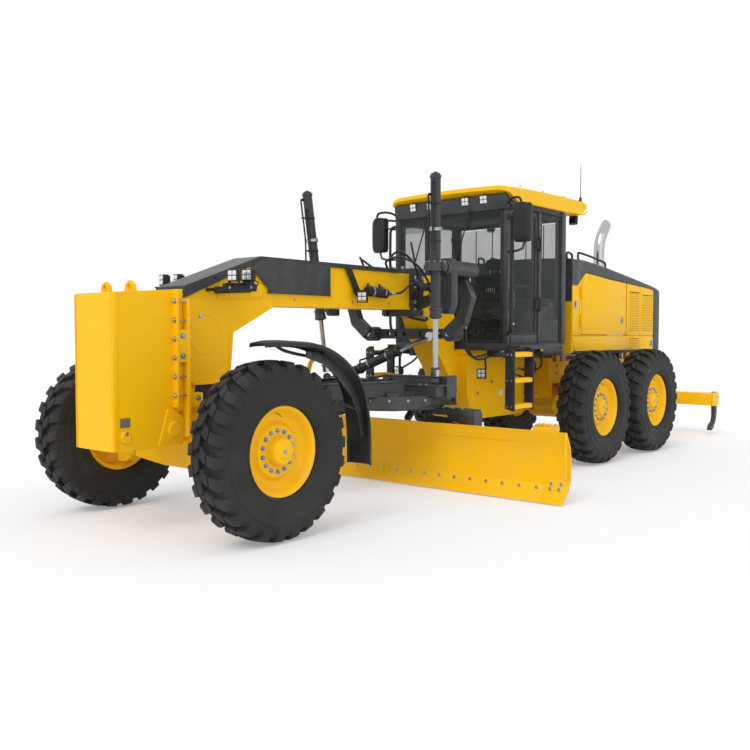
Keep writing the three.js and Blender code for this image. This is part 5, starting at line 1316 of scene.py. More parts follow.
def cabPanes(shape):
    # fixed panes on one side, with the charcoal posts' outer covers
    shape.block((0.7905, 4.545, 1.5), (0.7935, 5.01, 2.972), 0.001, 1)
    for a, b in (((4.53, 1.485), (4.562, 2.985)), ((4.985, 1.485), (5.02, 2.985)),
                 ((4.562, 1.485), (4.985, 1.512)), ((4.562, 2.955), (4.985, 2.985))):
        shape.block((0.7935, a[0], a[1]), (0.7975, b[0], b[1]), 0.001, 2)
    shape.block((0.786, 4.476, 1.48), (0.806, 4.53, 3.0), 0.006)
    shape.block((0.77, 5.02, 1.48), (0.812, 5.116, 3.05), 0.008)
    shape.block((0.742, 4.562, 1.5), (0.752, 4.985, 1.77), 0.002, 2)
    shape.block((0.742, 4.48, 1.48), (0.75, 4.56, 2.98), 0.002, 2)
    # front post cover, the grab rail beside it and the drip rail above the door
    shape.block((0.745, 3.806, 1.48), (0.796, 3.868, 3.05), 0.01)
    shape.pipe([(0.8, 3.815, 2.9), (0.85, 3.79, 2.86), (0.862, 3.786, 2.7), (0.862, 3.786, 1.86),
                (0.85, 3.79, 1.66), (0.8, 3.815, 1.58)], 0.0165, 14, 2, 8)
    shape.block((0.786, 3.86, 2.996), (0.812, 5.06, 3.022), 0.006, 2)
    # hinge covers and the small blank label on the sill
    for z in (1.93, 2.63):
        shape.rod((0.815, 4.49, z - 0.075), (0.815, 4.49, z + 0.075), 0.017, 16, 2)
    shape.block((0.79, 4.56, 1.385), (0.7925, 4.7, 1.425), 0.001, 3)
    shape.block((0.79, 4.702, 1.375), (0.7925, 4.75, 1.432), 0.001, 4)
    # sill below the doors with its bolts, and the folded lower skirt
    shape.block((0.78, 3.84, 1.415), (0.8, 5.1, 1.468), 0.006)
    shape.slab("y", [(0.6, 1.33), (0.78, 1.33), (0.795, 1.35), (0.795, 1.42), (0.6, 1.42)], 4.62, 5.09, 0.004)
    for y in (3.9, 4.2, 4.52, 4.82, 5.06):
        shape.nut((0.8, y, 1.442), (1, 0, 0), 0.009, 0.007, 5, 1.2)


def cabFrontTrim(shape):
    # windshield with its border, the dark header for the lamps, and three wipers
    shape.block((-0.722, 3.8135, 1.49), (0.722, 3.8175, 2.965), 0.001, 1)
    shape.block((-0.722, 3.8095, 2.79), (0.722, 3.813, 2.965), 0.001, 6)
    for a, b in (((-0.745, 1.48), (-0.705, 2.975)), ((0.705, 1.48), (0.745, 2.975)),
                 ((-0.705, 1.48), (0.705, 1.52)), ((-0.705, 2.935), (0.705, 2.975))):
        shape.block((a[0], 3.806, a[1]), (b[0], 3.8125, b[1]), 0.002, 2)
    shape.slab("x", [(3.79, 2.97), (3.87, 2.97), (3.93, 3.062), (3.8, 3.15), (3.77, 3.12)], -0.785, 0.785,
               0.006)
    shape.block((-0.785, 3.8, 1.4), (0.785, 3.84, 1.485), 0.008)
    for x in (-0.3, 0.3):
        shape.rod((x, 3.812, 2.985), (x, 3.782, 2.985), 0.02, 20, 2)
        shape.pipe([(x, 3.788, 2.985), (x - 0.03, 3.786, 2.86), (x - 0.13, 3.794, 2.6),
                    (x - 0.2, 3.8, 2.42)], 0.008, 8, 2, 6)
        shape.block((-0.01, -0.008, -0.26), (0.01, 0.008, 0.26), 0.003, 2,
                    Matrix.Translation((x - 0.19, 3.8, 2.44)) @ Matrix.Rotation(radians(-14), 4, "Y"))
    shape.pipe([(-0.05, 3.796, 1.5), (0.0, 3.79, 1.7), (0.12, 3.796, 1.92), (0.2, 3.8, 2.05)], 0.008, 8, 2, 6)
    shape.block((-0.009, -0.006, -0.2), (0.009, 0.006, 0.2), 0.003, 2,
                Matrix.Translation((0.2, 3.802, 2.03)) @ Matrix.Rotation(radians(24), 4, "Y"))
    # lower surround behind the glass, the rear pane with its bars, and the underside beams
    shape.block((-0.7, 3.872, 1.472), (0.7, 3.885, 1.6), 0.003, 2)
    shape.block((-0.72, 5.1125, 2.01), (0.72, 5.1165, 2.94), 0.001, 1)
    for x in (-0.5, -0.25, 0.0, 0.25, 0.5):
        shape.block((x - 0.006, 5.118, 2.02), (x + 0.006, 5.124, 2.93), 0.001, 2)
    for side in (-1, 1):
        shape.block((side * 0.56 - 0.06, 3.86, 1.325), (side * 0.56 + 0.06, 5.05, 1.4), 0.006)


def mirrorTrim(shape):
    # rounded housings with their faces, and the loops of tube that carry them
    rows = []
    middle = (1.01, 3.79, 2.8)
    for i in range(13):
        a = pi * i / 12 - pi / 2
        row = []
        for k in range(17):
            b = pi * k / 16
            sx = (1 if cos(b) > 0 else -1) * abs(cos(b)) ** 0.45
            sz = (1 if sin(a) > 0 else -1) * abs(sin(a)) ** 0.45
            flat = abs(cos(a)) ** 0.45
            row.append((middle[0] + 0.1 * sx * flat, middle[1] - 0.036 - 0.04 * sin(b) ** 0.6 * flat,
                        middle[2] + 0.216 * sz))
        rows.append(row)
    shape.grid(rows, 0, 2)
    shape.block((0.912, 3.752, 2.59), (1.108, 3.812, 3.01), 0.022, 2)
    shape.block((0.924, 3.812, 2.6), (1.096, 3.816, 2.88), 0.001, 3)
    shape.block((0.924, 3.812, 2.89), (1.096, 3.816, 3.0), 0.001, 3)
    shape.pipe([(0.8, 3.83, 3.03), (0.86, 3.77, 3.065), (0.96, 3.73, 3.07), (1.01, 3.72, 3.045),
                (1.025, 3.725, 2.96), (1.025, 3.74, 2.86)], 0.0135, 12, 2, 8)
    shape.pipe([(0.8, 3.845, 2.865), (0.86, 3.78, 2.87), (0.96, 3.735, 2.9), (1.02, 3.735, 2.93)], 0.0115,
               12, 2, 8)
    shape.rod((1.025, 3.742, 2.83), (1.025, 3.742, 2.99), 0.019, 16, 2)
    for z in (2.85, 2.97):
        shape.band((1.025, 3.742, z - 0.012), (1.025, 3.742, z + 0.012), 0.025, 0.018, 20, 0)


def roofShape(shape):
    # a crowned cap that thins to a lip at the front and rolls down at its back edge
    side = [(3.745, 3.196), (3.75, 3.238), (3.8, 3.25), (4.2, 3.268), (4.9, 3.278), (5.5, 3.278), (5.6, 3.27),
            (5.655, 3.25), (5.66, 3.215), (5.6, 3.13), (5.5, 3.07), (5.12, 3.0625), (3.975, 3.0625)]
    rows = []
    for k in range(25):
        t = -1 + 2 * k / 24
        inset = 0.045 * max(0.0, abs(t) - 0.86) / 0.14
        row = []
        for y, z in side + side[:1]:
            high = z > 3.15
            drop = (0.02 * t * t + 0.03 * max(0.0, abs(t) - 0.9) / 0.1) if high else 0.0
            pull = inset * (1 if y < 3.9 else -1) if (y < 3.9 or y > 5.55) else 0.0
            row.append((0.83 * t, y + pull, z - drop))
        rows.append(row)
    shape.grid(rows)
    for end in (rows[0], rows[-1]):
        part = bmesh.new()
        part.faces.new([part.verts.new(p) for p in end[:-1]])
        bmesh.ops.recalc_face_normals(part, faces=part.faces)
        shape.take(part)
    bmesh.ops.remove_doubles(shape.bm, verts=shape.bm.verts, dist=0.0004)
    bmesh.ops.recalc_face_normals(shape.bm, faces=shape.bm.faces)
    for side in (-1, 1):  # pressed ridges along the top, the folded side edge and its screws
        shape.slab("x", [(3.9, 3.25), (5.4, 3.266), (5.38, 3.284), (3.95, 3.266)], side * 0.52 - 0.035,
                   side * 0.52 + 0.035, 0.006)
        shape.slab("x", [(3.98, 3.07), (5.55, 3.07), (5.62, 3.12), (5.62, 3.135), (5.54, 3.085),
                         (3.96, 3.085)], side * 0.829 - 0.004, side * 0.829 + 0.004, 0.002)
        for y in (4.1, 4.6, 5.1, 5.5):
            shape.nut((side * 0.78, y, 3.252), (0, 0, 1), 0.011, 0.008, 1)
    shape.block((-0.2, 4.75, 3.262), (0.2, 5.2, 3.292), 0.01, 2)
    shape.rod((0.81, 5.48, 3.235), (0.81, 5.48, 3.285), 0.016, 16, 2)
    shape.lathe([(0, 0.0055), (0.05, 0.0045), (0.415, 0.0026), (0.4155, 0)], (0.81, 5.48, 3.284), (0, 0, 1),
                10, 2)
    for x in (-0.5, -0.25, 0.25, 0.5):
        shape.block((x - 0.012, 3.8, 3.12), (x + 0.012, 3.85, 3.17), 0.002, 2)
        lamp(shape, (x, 3.772, 3.092), (0.1 if x > 0 else -0.1, -1, -0.14), 0.1, 2, 3, 0.05)
    for x in (-0.62, 0.62):  # the pair that light the work behind
        lamp(shape, (x, 5.69, 3.04), (0, 1, -0.14), 0.1, 2, 3, 0.05)
        shape.block((x - 0.012, 5.6, 3.05), (x + 0.012, 5.65, 3.1), 0.002, 2)


bothSides(doorTrim, "cab_door_glass", "cab_door_{hand}", ["charcoal_paint", "cab_glass", "black_plastic",
                                                          "silver_latch"])
bothSides(cabPanes, "cab_side_glass", "front",
          ["charcoal_paint", "cab_glass", "black_plastic", "yellow_paint", "white_label", "zinc_nut"])
onePiece(cabFrontTrim, "windshield", "front", ["charcoal_paint", "cab_glass", "black_plastic", "lamp_face",
                                               "white_label", "zinc_nut", "cab_glass"])
bothSides(mirrorTrim, "mirror", "front", ["charcoal_paint", "bare_steel", "black_plastic", "mirror_face"])
onePiece(roofShape, "cab_roof_cap", "front", ["yellow_paint", "zinc_nut", "black_plastic", "lamp_face"],
         "cab_roof")


# ---- inside the cab ----
def seatShape(shape):
    # suspension base, padded cushion and back with side wings, headrest, arm rests with their levers
    y, floor = 4.48, cab["floor"]
    shape.block((-0.19, y - 0.2, floor), (0.19, y + 0.2, floor + 0.05), 0.006, 1)
    for i in range(6):
        grow = 0.01 * (i % 2)
        shape.block((-0.165 - grow, y - 0.175 - grow, floor + 0.05 + i * 0.033),
                    (0.165 + grow, y + 0.175 + grow, floor + 0.083 + i * 0.033), 0.008, 1)
    shape.block((-0.2, y - 0.21, floor + 0.245), (0.2, y + 0.21, floor + 0.275), 0.006, 1)
    shape.block((-0.225, y - 0.25, floor + 0.275), (0.225, y + 0.225, floor + 0.385), 0.045)
    for side in (-1, 1):
        shape.block((side * 0.215 - 0.045, y - 0.235, floor + 0.29),
                    (side * 0.215 + 0.045, y + 0.215, floor + 0.4), 0.035)
    lean = Matrix.Translation((0, y + 0.235, floor + 0.36)) @ Matrix.Rotation(radians(-9), 4, "X")
    shape.block((-0.205, -0.05, 0.0), (0.205, 0.05, 0.52), 0.045, 0, lean)
    for side in (-1, 1):
        shape.block((side * 0.205 - 0.04, -0.08, 0.04), (side * 0.205 + 0.04, 0.045, 0.46), 0.034, 0, lean)
    for z in (0.13, 0.26, 0.39):
        shape.block((-0.16, -0.055, z - 0.003), (0.16, -0.045, z + 0.003), 0.002, 1, lean)
    shape.block((-0.13, -0.045, 0.56), (0.13, 0.045, 0.7), 0.04, 0, lean)
    for side in (-1, 1):
        shape.rod(lean @ Vector((side * 0.07, 0, 0.5)), lean @ Vector((side * 0.07, 0, 0.58)), 0.008, 12, 2)
        shape.block((side * 0.305 - 0.045, y - 0.18, floor + 0.545),
                    (side * 0.305 + 0.045, y + 0.22, floor + 0.6), 0.018, 1)
        shape.block((side * 0.285 - 0.02, y + 0.14, floor + 0.36),
                    (side * 0.285 + 0.02, y + 0.22, floor + 0.56), 0.01, 1)
        shape.block((side * 0.305 - 0.055, y - 0.34, floor + 0.555),
                    (side * 0.305 + 0.055, y - 0.15, floor + 0.61), 0.016, 1)
        for i, x in enumerate((-0.028, 0.0, 0.028)):
            for k, back in enumerate((0.29, 0.21)):
                foot = Vector((side * 0.305 + x, y - back, floor + 0.605))
                shape.rod(foot, foot + Vector((0, -0.004, 0.06)), 0.0045, 10, 2)
                shape.lathe([(0, 0), (0.004, 0.01), (0.02, 0.013), (0.03, 0.009), (0.034, 0)],
                            foot + Vector((0, -0.004, 0.055)), (0, -0.05, 1), 16, 1)
    shape.pipe([(-0.2, y + 0.21, floor + 0.34), (-0.25, y + 0.05, floor + 0.43),
                (-0.1, y - 0.05, floor + 0.41), (0.1, y - 0.05, floor + 0.41),
                (0.22, y + 0.1, floor + 0.4)], 0.01, 8, 1, 6, 0.3)


def consoleShape(shape):
    # steering column with its wheel, the display beside it and pedals
    floor = cab["floor"]
    shape.slab("x", [(3.965, floor), (4.115, floor), (4.17, floor + 0.44), (4.15, floor + 0.56),
                     (4.085, floor + 0.59), (4.04, floor + 0.5)], -0.075, 0.075, 0.016)
    shape.block((-0.09, 3.955, floor), (0.09, 4.125, floor + 0.1), 0.012)
    hub = Vector((0, 4.15, floor + 0.65))
    face = Vector((0, sin(radians(28)), cos(radians(28))))
    shape.rod((0, 4.122, floor + 0.55), hub, 0.026, 20, 0)
    turn = Matrix.Translation(hub) @ Matrix.Rotation(radians(-28), 4, "X")
    ring = []
    for i in range(41):
        a = 2 * pi * i / 40
        ring.append(turn @ Vector((0.176 * cos(a), 0.176 * sin(a), 0.012)))
    shape.pipe(ring, 0.0145, 12, 0, 1)
    for a in (0.35, pi - 0.35, 1.5 * pi):
        shape.rod(turn @ Vector((0.03 * cos(a), 0.03 * sin(a), 0.0)),
                  turn @ Vector((0.17 * cos(a), 0.17 * sin(a), 0.01)), 0.01, 12, 0)
    shape.lathe([(0, 0), (0, 0.048), (0.012, 0.052), (0.026, 0.04), (0.03, 0)], hub - face * 0.01, face, 32,
                0)
    shape.rod(turn @ Vector((0.13, 0.115, 0.012)), turn @ Vector((0.13, 0.115, 0.052)), 0.015, 16, 0)
    screen = Matrix.Translation((0.0, 4.07, floor + 0.64)) @ Matrix.Rotation(radians(-30), 4, "X")
    shape.block((-0.085, -0.018, -0.045), (0.085, 0.018, 0.045), 0.008, 0, screen)
    shape.block((-0.075, 0.017, -0.036), (0.075, 0.02, 0.036), 0.001, 1, screen)
    for x in (-0.17, 0.17, 0.3):
        pedal = Matrix.Translation((x, 4.0, floor + 0.11)) @ Matrix.Rotation(radians(-38), 4, "X")
        shape.block((-0.04, -0.008, -0.08), (0.04, 0.008, 0.08), 0.006, 0, pedal)
        for k in range(5):
            shape.block((-0.034, 0.007, -0.062 + k * 0.03), (0.034, 0.012, -0.052 + k * 0.03), 0.002, 0,
                        pedal)
        shape.rod((x, 3.985, floor + 0.09), (x, 3.94, floor + 0.015), 0.01, 10, 0)


def cabLining(shape):
    # moulded side consoles, rear shelf, headliner, floor mat and the display on the right post
    floor = cab["floor"]
    for i in range(22):
        shape.block((-0.6, 3.935 + i * 0.05, floor), (0.6, 3.958 + i * 0.05, floor + 0.01), 0.003, 1)
    shape.block((-0.735, 4.86, floor + 0.002), (0.735, 5.058, 1.98), 0.03)
    shape.block((-0.7, 4.84, 1.98), (0.7, 5.055, 2.02), 0.012)
    for side in (-1, 1):
        shape.slab("x", [(4.5, 1.475), (4.86, 1.475), (4.86, 1.92), (4.7, 1.9), (4.56, 1.78)],
                   side * 0.64 - 0.09, side * 0.64 + 0.09, 0.02)
    shape.block((-0.63, 3.985, 2.985), (0.63, 4.945, 2.998), 0.004)
    shape.block((-0.72, 3.875, 2.88), (0.72, 3.965, 2.99), 0.016)
    monitor = Matrix.Translation((-0.6, 4.02, 2.18)) @ Matrix.Rotation(radians(-28), 4, "Z")
    shape.block((-0.11, -0.022, -0.085), (0.11, 0.022, 0.085), 0.012, 1, monitor)
    shape.block((-0.096, 0.021, -0.07), (0.096, 0.024, 0.07), 0.001, 2, monitor)
    shape.rod((-0.6, 4.01, 2.18), (-0.715, 3.9, 2.15), 0.014, 12, 1)
    for z in (2.3, 2.42):
        shape.block((0.69, 3.885, z), (0.735, 3.935, z + 0.07), 0.008, 1)


onePiece(seatShape, "operator_seat", "front", ["seat_cloth", "black_plastic", "bare_steel"], "seat")
onePiece(consoleShape, "steering_column", "front", ["black_plastic", "cab_glass"], "steering_console")
onePiece(cabLining, "cab_lining", "front", ["cab_trim", "black_plastic", "cab_glass"])


# ---- ladder and the lamp under the cab ----
ladder = {"steps": (1.363, 1.082, 0.799), "front": 3.56, "rear": 3.96}


def ladderTrim(shape):
    front, rear = ladder["front"], ladder["rear"]
    for z in ladder["steps"]:
        shape.block((0.944, front + 0.014, z - 0.024), (1.046, rear - 0.014, z + 0.024), 0.004, 0)
        for i in range(9):
            shape.block((0.952, front + 0.035 + i * 0.037, z + 0.024),
                        (1.038, front + 0.047 + i * 0.037, z + 0.03), 0.002, 0)
        for y in (front - 0.013, rear + 0.013):
            way = -1 if y < 3.7 else 1
            for x in (0.97, 1.018):
                shape.nut((x, y, z), (0, way, 0), 0.01, 0.008, 2, 1.2)
    for y in (front, rear):
        shape.slab("y", [(0.94, 0.78), (1.052, 0.752), (1.052, 1.405), (1.0, 1.44), (0.94, 1.44)],
                   y - 0.0135, y + 0.0135, 0.003, 1)
    shape.slab("y", [(0.7, 1.34), (0.94, 1.36), (0.94, 1.43), (0.7, 1.44)], rear - 0.01, rear + 0.01, 0.003,
               1)
    shape.pipe([(0.93, 4.06, 0.82), (0.93, 4.06, 1.3), (0.9, 4.06, 1.4), (0.84, 4.06, 1.43)], 0.016, 12, 1, 6)


def underCab(shape):
    lamp(shape, (0.6, 3.59, 1.15), (0.35, -1, -0.1), 0.1, 1, 2)
    shape.pipe([(0.6, 3.64, 1.16), (0.58, 3.72, 1.2), (0.52, 3.8, 1.26), (0.48, 3.86, 1.33)], 0.012, 10, 1, 6)
    shape.block((0.3, 4.43, 0.85), (0.3125, 4.5, 0.92), 0.001, 3)
    for y, z in ((3.95, 0.9), (4.25, 1.02), (4.65, 0.86), (4.9, 1.05)):
        shape.lathe([(0, 0), (0, 0.034), (0.012, 0.034), (0.016, 0.028), (0.016, 0)], (0.3, y, z),
                    (1, 0, 0), 28, 0)
        shape.nut((0.316, y, z), (1, 0, 0), 0.014, 0.01, 4)


bothSides(ladderTrim, "ladder_steps", "front", ["yellow_paint", "black_plastic", "zinc_nut"])
bothSides(underCab, "under_cab_trim", "front", ["yellow_paint", "black_plastic", "lamp_face", "white_label",
                                                "zinc_nut"])
print("cab ready")

# ---- hood ----
hood = {"crown": 0.03}
hoodTopLine = [(5.385, 2.512), (5.4, 2.528), (5.73, 2.53), (6.05, 2.505), (6.39, 2.47), (7.1, 2.385),
               (7.81, 2.295), (7.98, 2.268), (8.045, 2.245)]
hoodSkirtLine = [(5.385, 2.2), (5.525, 2.204), (5.7, 2.342), (5.76, 2.374), (6.05, 2.355), (6.39, 2.326),
                 (7.1, 2.286), (7.757, 2.244), (8.045, 2.205)]


def along(line, y):
    for (a, za), (b, zb) in zip(line, line[1:]):
        if y <= b:
            return za + (zb - za) * max(0.0, (y - a) / (b - a))
    return line[-1][1]


def hoodCover(shape):
    # the charcoal cover: crowned on top, folded down each side to a slanting lower edge
    stations = sorted({y for y, _ in hoodTopLine + hoodSkirtLine} | {5.385 + 0.14 * i for i in range(20)})
    rows = []
    for y in [s for s in stations if s <= 8.045]:
        top = along(hoodTopLine, y)
        low = along(hoodSkirtLine, y)
        row = [(-0.761, y, low), (-0.761, y, max(low, top - 0.045)), (-0.757, y, top - 0.022),
               (-0.745, y, top - 0.007)]
        for k in range(13):
            x = -0.725 + 1.45 * k / 12
            row.append((x, y, top + hood["crown"] * (1 - (x / 0.73) ** 2)))
        row += [(0.745, y, top - 0.007), (0.757, y, top - 0.022), (0.761, y, max(low, top - 0.045)),
                (0.761, y, low)]
        rows.append(row)
    shape.grid(rows, 0.01)
    shape.block((-0.752, 5.386, 2.0), (0.752, 5.398, 2.515), 0.004)
    for side in (-1, 1):
        spans = sorted((side * 0.7505, side * 0.7585))
        shape.slab("x", [(7.872, 2.25), (8.05, 2.235), (8.082, 2.18), (8.082, 1.36), (7.905, 1.36),
                         (7.872, 1.42)], spans[0], spans[1], 0.003)
        x = side * 0.66  # the low hand rails
        shape.pipe([(x, 5.42, 2.53), (x, 5.42, 2.595), (x, 5.445, 2.612), (x, 5.52, 2.604),
                    (x, 5.555, 2.585), (x, 5.56, 2.52)], 0.014, 12, 1, 6)
        shape.pipe([(x, 5.72, 2.53), (x, 5.72, 2.6), (x, 5.76, 2.628), (x, 6.08, 2.6), (x, 6.44, 2.552),
                    (x, 6.49, 2.53), (x, 6.5, 2.44)], 0.014, 12, 1, 6)
        for y in (5.42, 5.56, 5.72, 6.5):
            z = along(hoodTopLine, y) + 0.008
            shape.rod((x, y, z - 0.01), (x, y, z + 0.006), 0.026, 20, 1)
        for y in (5.45, 6.2, 6.9, 7.6):
            shape.nut((side * 0.7, y, along(hoodTopLine, y) + 0.002), (0, 0, 1), 0.01, 0.008, 2)
    shape.slab("z", [(-0.46, 6.55), (0.46, 6.55), (0.46, 7.3), (-0.46, 7.3)], 2.4, 2.475, 0.01)
    for i in range(20):
        shape.block((-0.43, 6.59 + i * 0.035, 2.47), (0.43, 6.603 + i * 0.035, 2.484), 0.003, 1)
    shape.band((0, 7.64, 2.28), (0, 7.64, 2.365), 0.13, 0.09, 48, 0, 0.006)
    shape.band((0, 7.64, 2.33), (0, 7.64, 2.372), 0.1, 0.0815, 48, 2, 0.003)


def latchOn(shape, x, y, z, plate, dark):
    shape.block((x - 0.004, y - 0.038, z - 0.05), (x + 0.01, y + 0.038, z + 0.05), 0.006, plate)
    shape.block((x + 0.0095, y - 0.024, z - 0.03), (x + 0.0115, y + 0.024, z + 0.03), 0.001, dark)
    shape.block((x + 0.008, y - 0.01, z - 0.026), (x + 0.018, y + 0.01, z + 0.026), 0.004, plate)
    shape.rod((x + 0.01, y, z + 0.036), (x + 0.014, y, z + 0.036), 0.006, 12, dark)


def louvres(shape, low, high, x=0.758):
    # an opening crossed by fine slats and two uprights, backed by a black sheet that is painted shade for the
    # dark inside of the opening
    shape.block((x - 0.002, low[0], low[1]), (x + 0.0005, high[0], high[1]), 0.001, 1)
    step = 0.0235
    for i in range(int((high[1] - low[1]) / step)):
        z = low[1] + 0.008 + i * step
        shape.block((x, low[0], z), (x + 0.0045, high[0], z + 0.018), 0.002)
    uprights = max(2, int((high[0] - low[0]) / 0.06))
    for k in range(uprights + 1):
        y = low[0] + (high[0] - low[0]) * k / uprights
        shape.block((x, y - 0.005, low[1]), (x + 0.0055, y + 0.005, high[1]), 0.002)
    for a, b in (((low[0] - 0.012, low[1] - 0.012), (high[0] + 0.012, low[1])),
                 ((low[0] - 0.012, high[1]), (high[0] + 0.012, high[1] + 0.012)),
                 ((low[0] - 0.012, low[1]), (low[0], high[1])),
                 ((high[0], low[1]), (high[0] + 0.012, high[1]))):
        shape.block((x - 0.002, a[0], a[1]), (x + 0.006, b[0], b[1]), 0.002)


def hoodPanels(shape):
    # fixed side panels; the black strips laid in the gaps between neighbours are painted shade, the dark line
    # a seam shows
    x, t = 0.7503, 0.0075
    panels = [[(5.4, 1.57), (5.578, 1.57), (5.578, 2.232), (5.528, 2.196), (5.4, 2.194)],
              [(5.586, 1.57), (5.632, 1.57), (5.632, 2.292), (5.586, 2.245)],
              [(5.47, 1.372), (6.965, 1.372), (6.965, 1.558), (5.4, 1.558)],
              [(6.973, 1.57), (7.412, 1.57), (7.412, 2.256), (6.973, 2.286)],
              [(7.42, 1.57), (7.866, 1.57), (7.866, 2.226), (7.42, 2.256)],
              [(6.973, 1.372), (7.412, 1.372), (7.412, 1.558), (6.973, 1.558)],
              [(7.42, 1.372), (7.866, 1.372), (7.866, 1.558), (7.42, 1.558)]]
    for outline in panels:
        shape.slab("x", outline, x, x + t, 0.003)
    # black strips at the bottom of the gaps: painted shade along the seams
    shape.slab("x", [(5.4, 1.562), (7.866, 1.562), (7.866, 1.566), (5.4, 1.566)], x, x + 0.001, 0, 1)
    for y in (5.582, 6.969, 7.416):
        shape.block((x, y - 0.003, 1.372), (x + 0.001, y + 0.003, 2.3), 0, 1)
    louvres(shape, (7.06, 1.64), (7.37, 2.18))
    louvres(shape, (7.48, 1.64), (7.83, 2.15))
    louvres(shape, (7.06, 1.4), (7.37, 1.53))
    latchOn(shape, 0.758, 5.468, 1.96, 2, 1)
    latchOn(shape, 0.758, 7.815, 1.455, 2, 1)
    for y in (5.5, 5.95, 6.45, 6.9):
        shape.nut((x + t, y, 1.385), (1, 0, 0), 0.008, 0.006, 3, 1.3)
    shape.block((0.73, 5.43, 1.33), (0.752, 7.9, 1.374), 0.004, 1)


def doorSkin(shape):
    x, t = 0.7503, 0.0075
    shape.slab("x", [(5.648, 1.588), (6.952, 1.588), (6.952, 2.286), (6.39, 2.318), (6.05, 2.347),
                     (5.765, 2.366), (5.7, 2.33), (5.648, 2.288)], x, x + t, 0.003)
    latchOn(shape, 0.758, 6.82, 1.775, 1, 2)


bothSides(hoodPanels, "hood_panels", "rear", ["yellow_paint", "black_plastic", "silver_latch", "zinc_nut"])
bothSides(doorSkin, "engine_door_skin", "engine_door_{hand}",
          ["yellow_paint", "silver_latch", "black_plastic"])
onePiece(hoodCover, "hood_cover", "rear", ["charcoal_paint", "black_plastic", "zinc_nut"], "hood_top",
         smooth=40)


# ---- exhaust ----
def exhaustShape(shape):
    # a bright pipe that bends back and ends in a slanting cut
    line = curveThrough([(0, 7.64, 1.32), (0, 7.64, 2.2), (0, 7.64, 2.72), (0, 7.655, 2.9), (0, 7.705, 3.03),
                         (0, 7.79, 3.14), (0, 7.86, 3.215)], 8)
    part = bmesh.new()
    rings = []
    for radius, order in ((0.079, 1), (0.071, -1)):
        for i, spot in list(enumerate(line))[::order]:
            ahead = (line[min(i + 1, len(line) - 1)] - line[max(i - 1, 0)]).normalized()
            up = Vector((1, 0, 0)).cross(ahead)
            share = max(0.0, (i - len(line) + 8) / 7)
            ring = []
            for k in range(40):
                a = 2 * pi * k / 40
                lean = ahead * (-up.y * sin(a) * radius * 0.95 * share)
                across = Vector((1, 0, 0)) * cos(a) * radius
                ring.append(part.verts.new(spot + across + up * sin(a) * radius + lean))
            rings.append(ring)
    for a, b in zip(rings, rings[1:] + rings[:1]):
        for k in range(40):
            part.faces.new((a[k], a[(k + 1) % 40], b[(k + 1) % 40], b[k]))
    bmesh.ops.recalc_face_normals(part, faces=part.faces)
    shape.take(part)
    shape.band((0, 7.64, 2.415), (0, 7.64, 2.44), 0.088, 0.078, 48, 1)
    shape.nut((0.088, 7.64, 2.4275), (1, 0, 0), 0.008, 0.012, 1)
    shape.block((-0.365, 7.585, 1.2305), (0.365, 7.695, 1.328), 0.005, 2)
    shape.rod((0, 7.64, 1.4), (0, 7.64, 2.05), 0.135, 48, 2, 0.02)


onePiece(exhaustShape, "exhaust_pipe", "rear", ["chrome", "bare_steel", "charcoal_paint"], "exhaust_stack",
         smooth=50)


# ---- back of the machine ----
def rearTrim(shape):
    # grille mesh behind the slots, lamp clusters, bolts on the frame, steps and rear rail
    for i in range(4):
        z = 1.54 + i * 0.13
        for k in range(24):
            x = -0.6 + 1.2 * (k + 0.5) / 24
            shape.block((x - 0.006, 7.985, z), (x + 0.006, 8.0, z + 0.06), 0.002, 1)
    for side in (-1, 1):
        shape.block((side * 0.655 - 0.055, 8.05, 1.88), (side * 0.655 + 0.055, 8.078, 2.11), 0.008, 1)
        for low, high, lens in ((2.02, 2.098, 2), (1.955, 2.012, 3), (1.892, 1.946, 4)):
            shape.block((side * 0.655 - 0.044, 8.076, low), (side * 0.655 + 0.044, 8.086, high), 0.006, lens)
        shape.block((side * 0.655 - 0.075, 8.06, 1.36), (side * 0.655 + 0.075, 8.1, 1.47), 0.008, 1)
        for z in (0.7, 0.8, 0.9, 1.0, 1.1):
            shape.nut((side * 0.5, 8.13, z), (0, 1, 0), 0.016, 0.014, 5)
        for y in (5.66, 6.02, 6.34, 6.7):
            for z in (1.18, 1.08):
                shape.nut((side * 0.4005, y, z), (side, 0, 0), 0.015, 0.013, 5)
        shape.pipe([(side * 0.7, 8.06, 1.55), (side * 0.7, 8.13, 1.58), (side * 0.7, 8.145, 1.75),
                    (side * 0.7, 8.13, 1.82), (side * 0.7, 8.06, 1.85)], 0.013, 12, 1, 6)
    shape.block((-0.19, 8.084, 1.372), (0.19, 8.09, 1.462), 0.004, 4)
    shape.block((-0.205, 8.07, 1.358), (0.205, 8.086, 1.476), 0.004, 1)


def axleTrim(shape):
    # hub flanges, the tandem case's covers and their bolts
    for y in (5.39, 6.93):
        shape.lathe([(0, 0.15), (0.01, 0.175), (0.022, 0.175), (0.03, 0.15)], (0.858, y, wheelZ), (1, 0, 0),
                    48)
    for y in (5.75, 6.16, 6.57):
        shape.block((0.64, y - 0.1, 0.922), (0.82, y + 0.1, 0.932), 0.004)
        for dx in (0.665, 0.795):
            for dy in (-0.075, 0.075):
                shape.nut((dx, y + dy, 0.932), (0, 0, 1), 0.011, 0.01, 1)
    shape.lathe([(0, 0), (0, 0.205), (0.018, 0.205), (0.028, 0.185), (0.028, 0)], (0.59, 6.16, wheelZ),
                (-1, 0, 0), 48)
    for c, s in around(12):
        shape.nut((0.572, 6.16 + 0.192 * c, wheelZ + 0.192 * s), (-1, 0, 0), 0.013, 0.012, 1)
    shape.band((0.56, 6.16, wheelZ), (0.44, 6.16, wheelZ), 0.19, 0.168, 48, 0, 0.008)


onePiece(rearTrim, "rear_trim", "rear", ["yellow_paint", "black_plastic", "red_lens", "amber_lens",
                                         "white_label", "zinc_nut"])
bothSides(axleTrim, "tandem_trim", "rear", ["yellow_paint", "zinc_nut"])


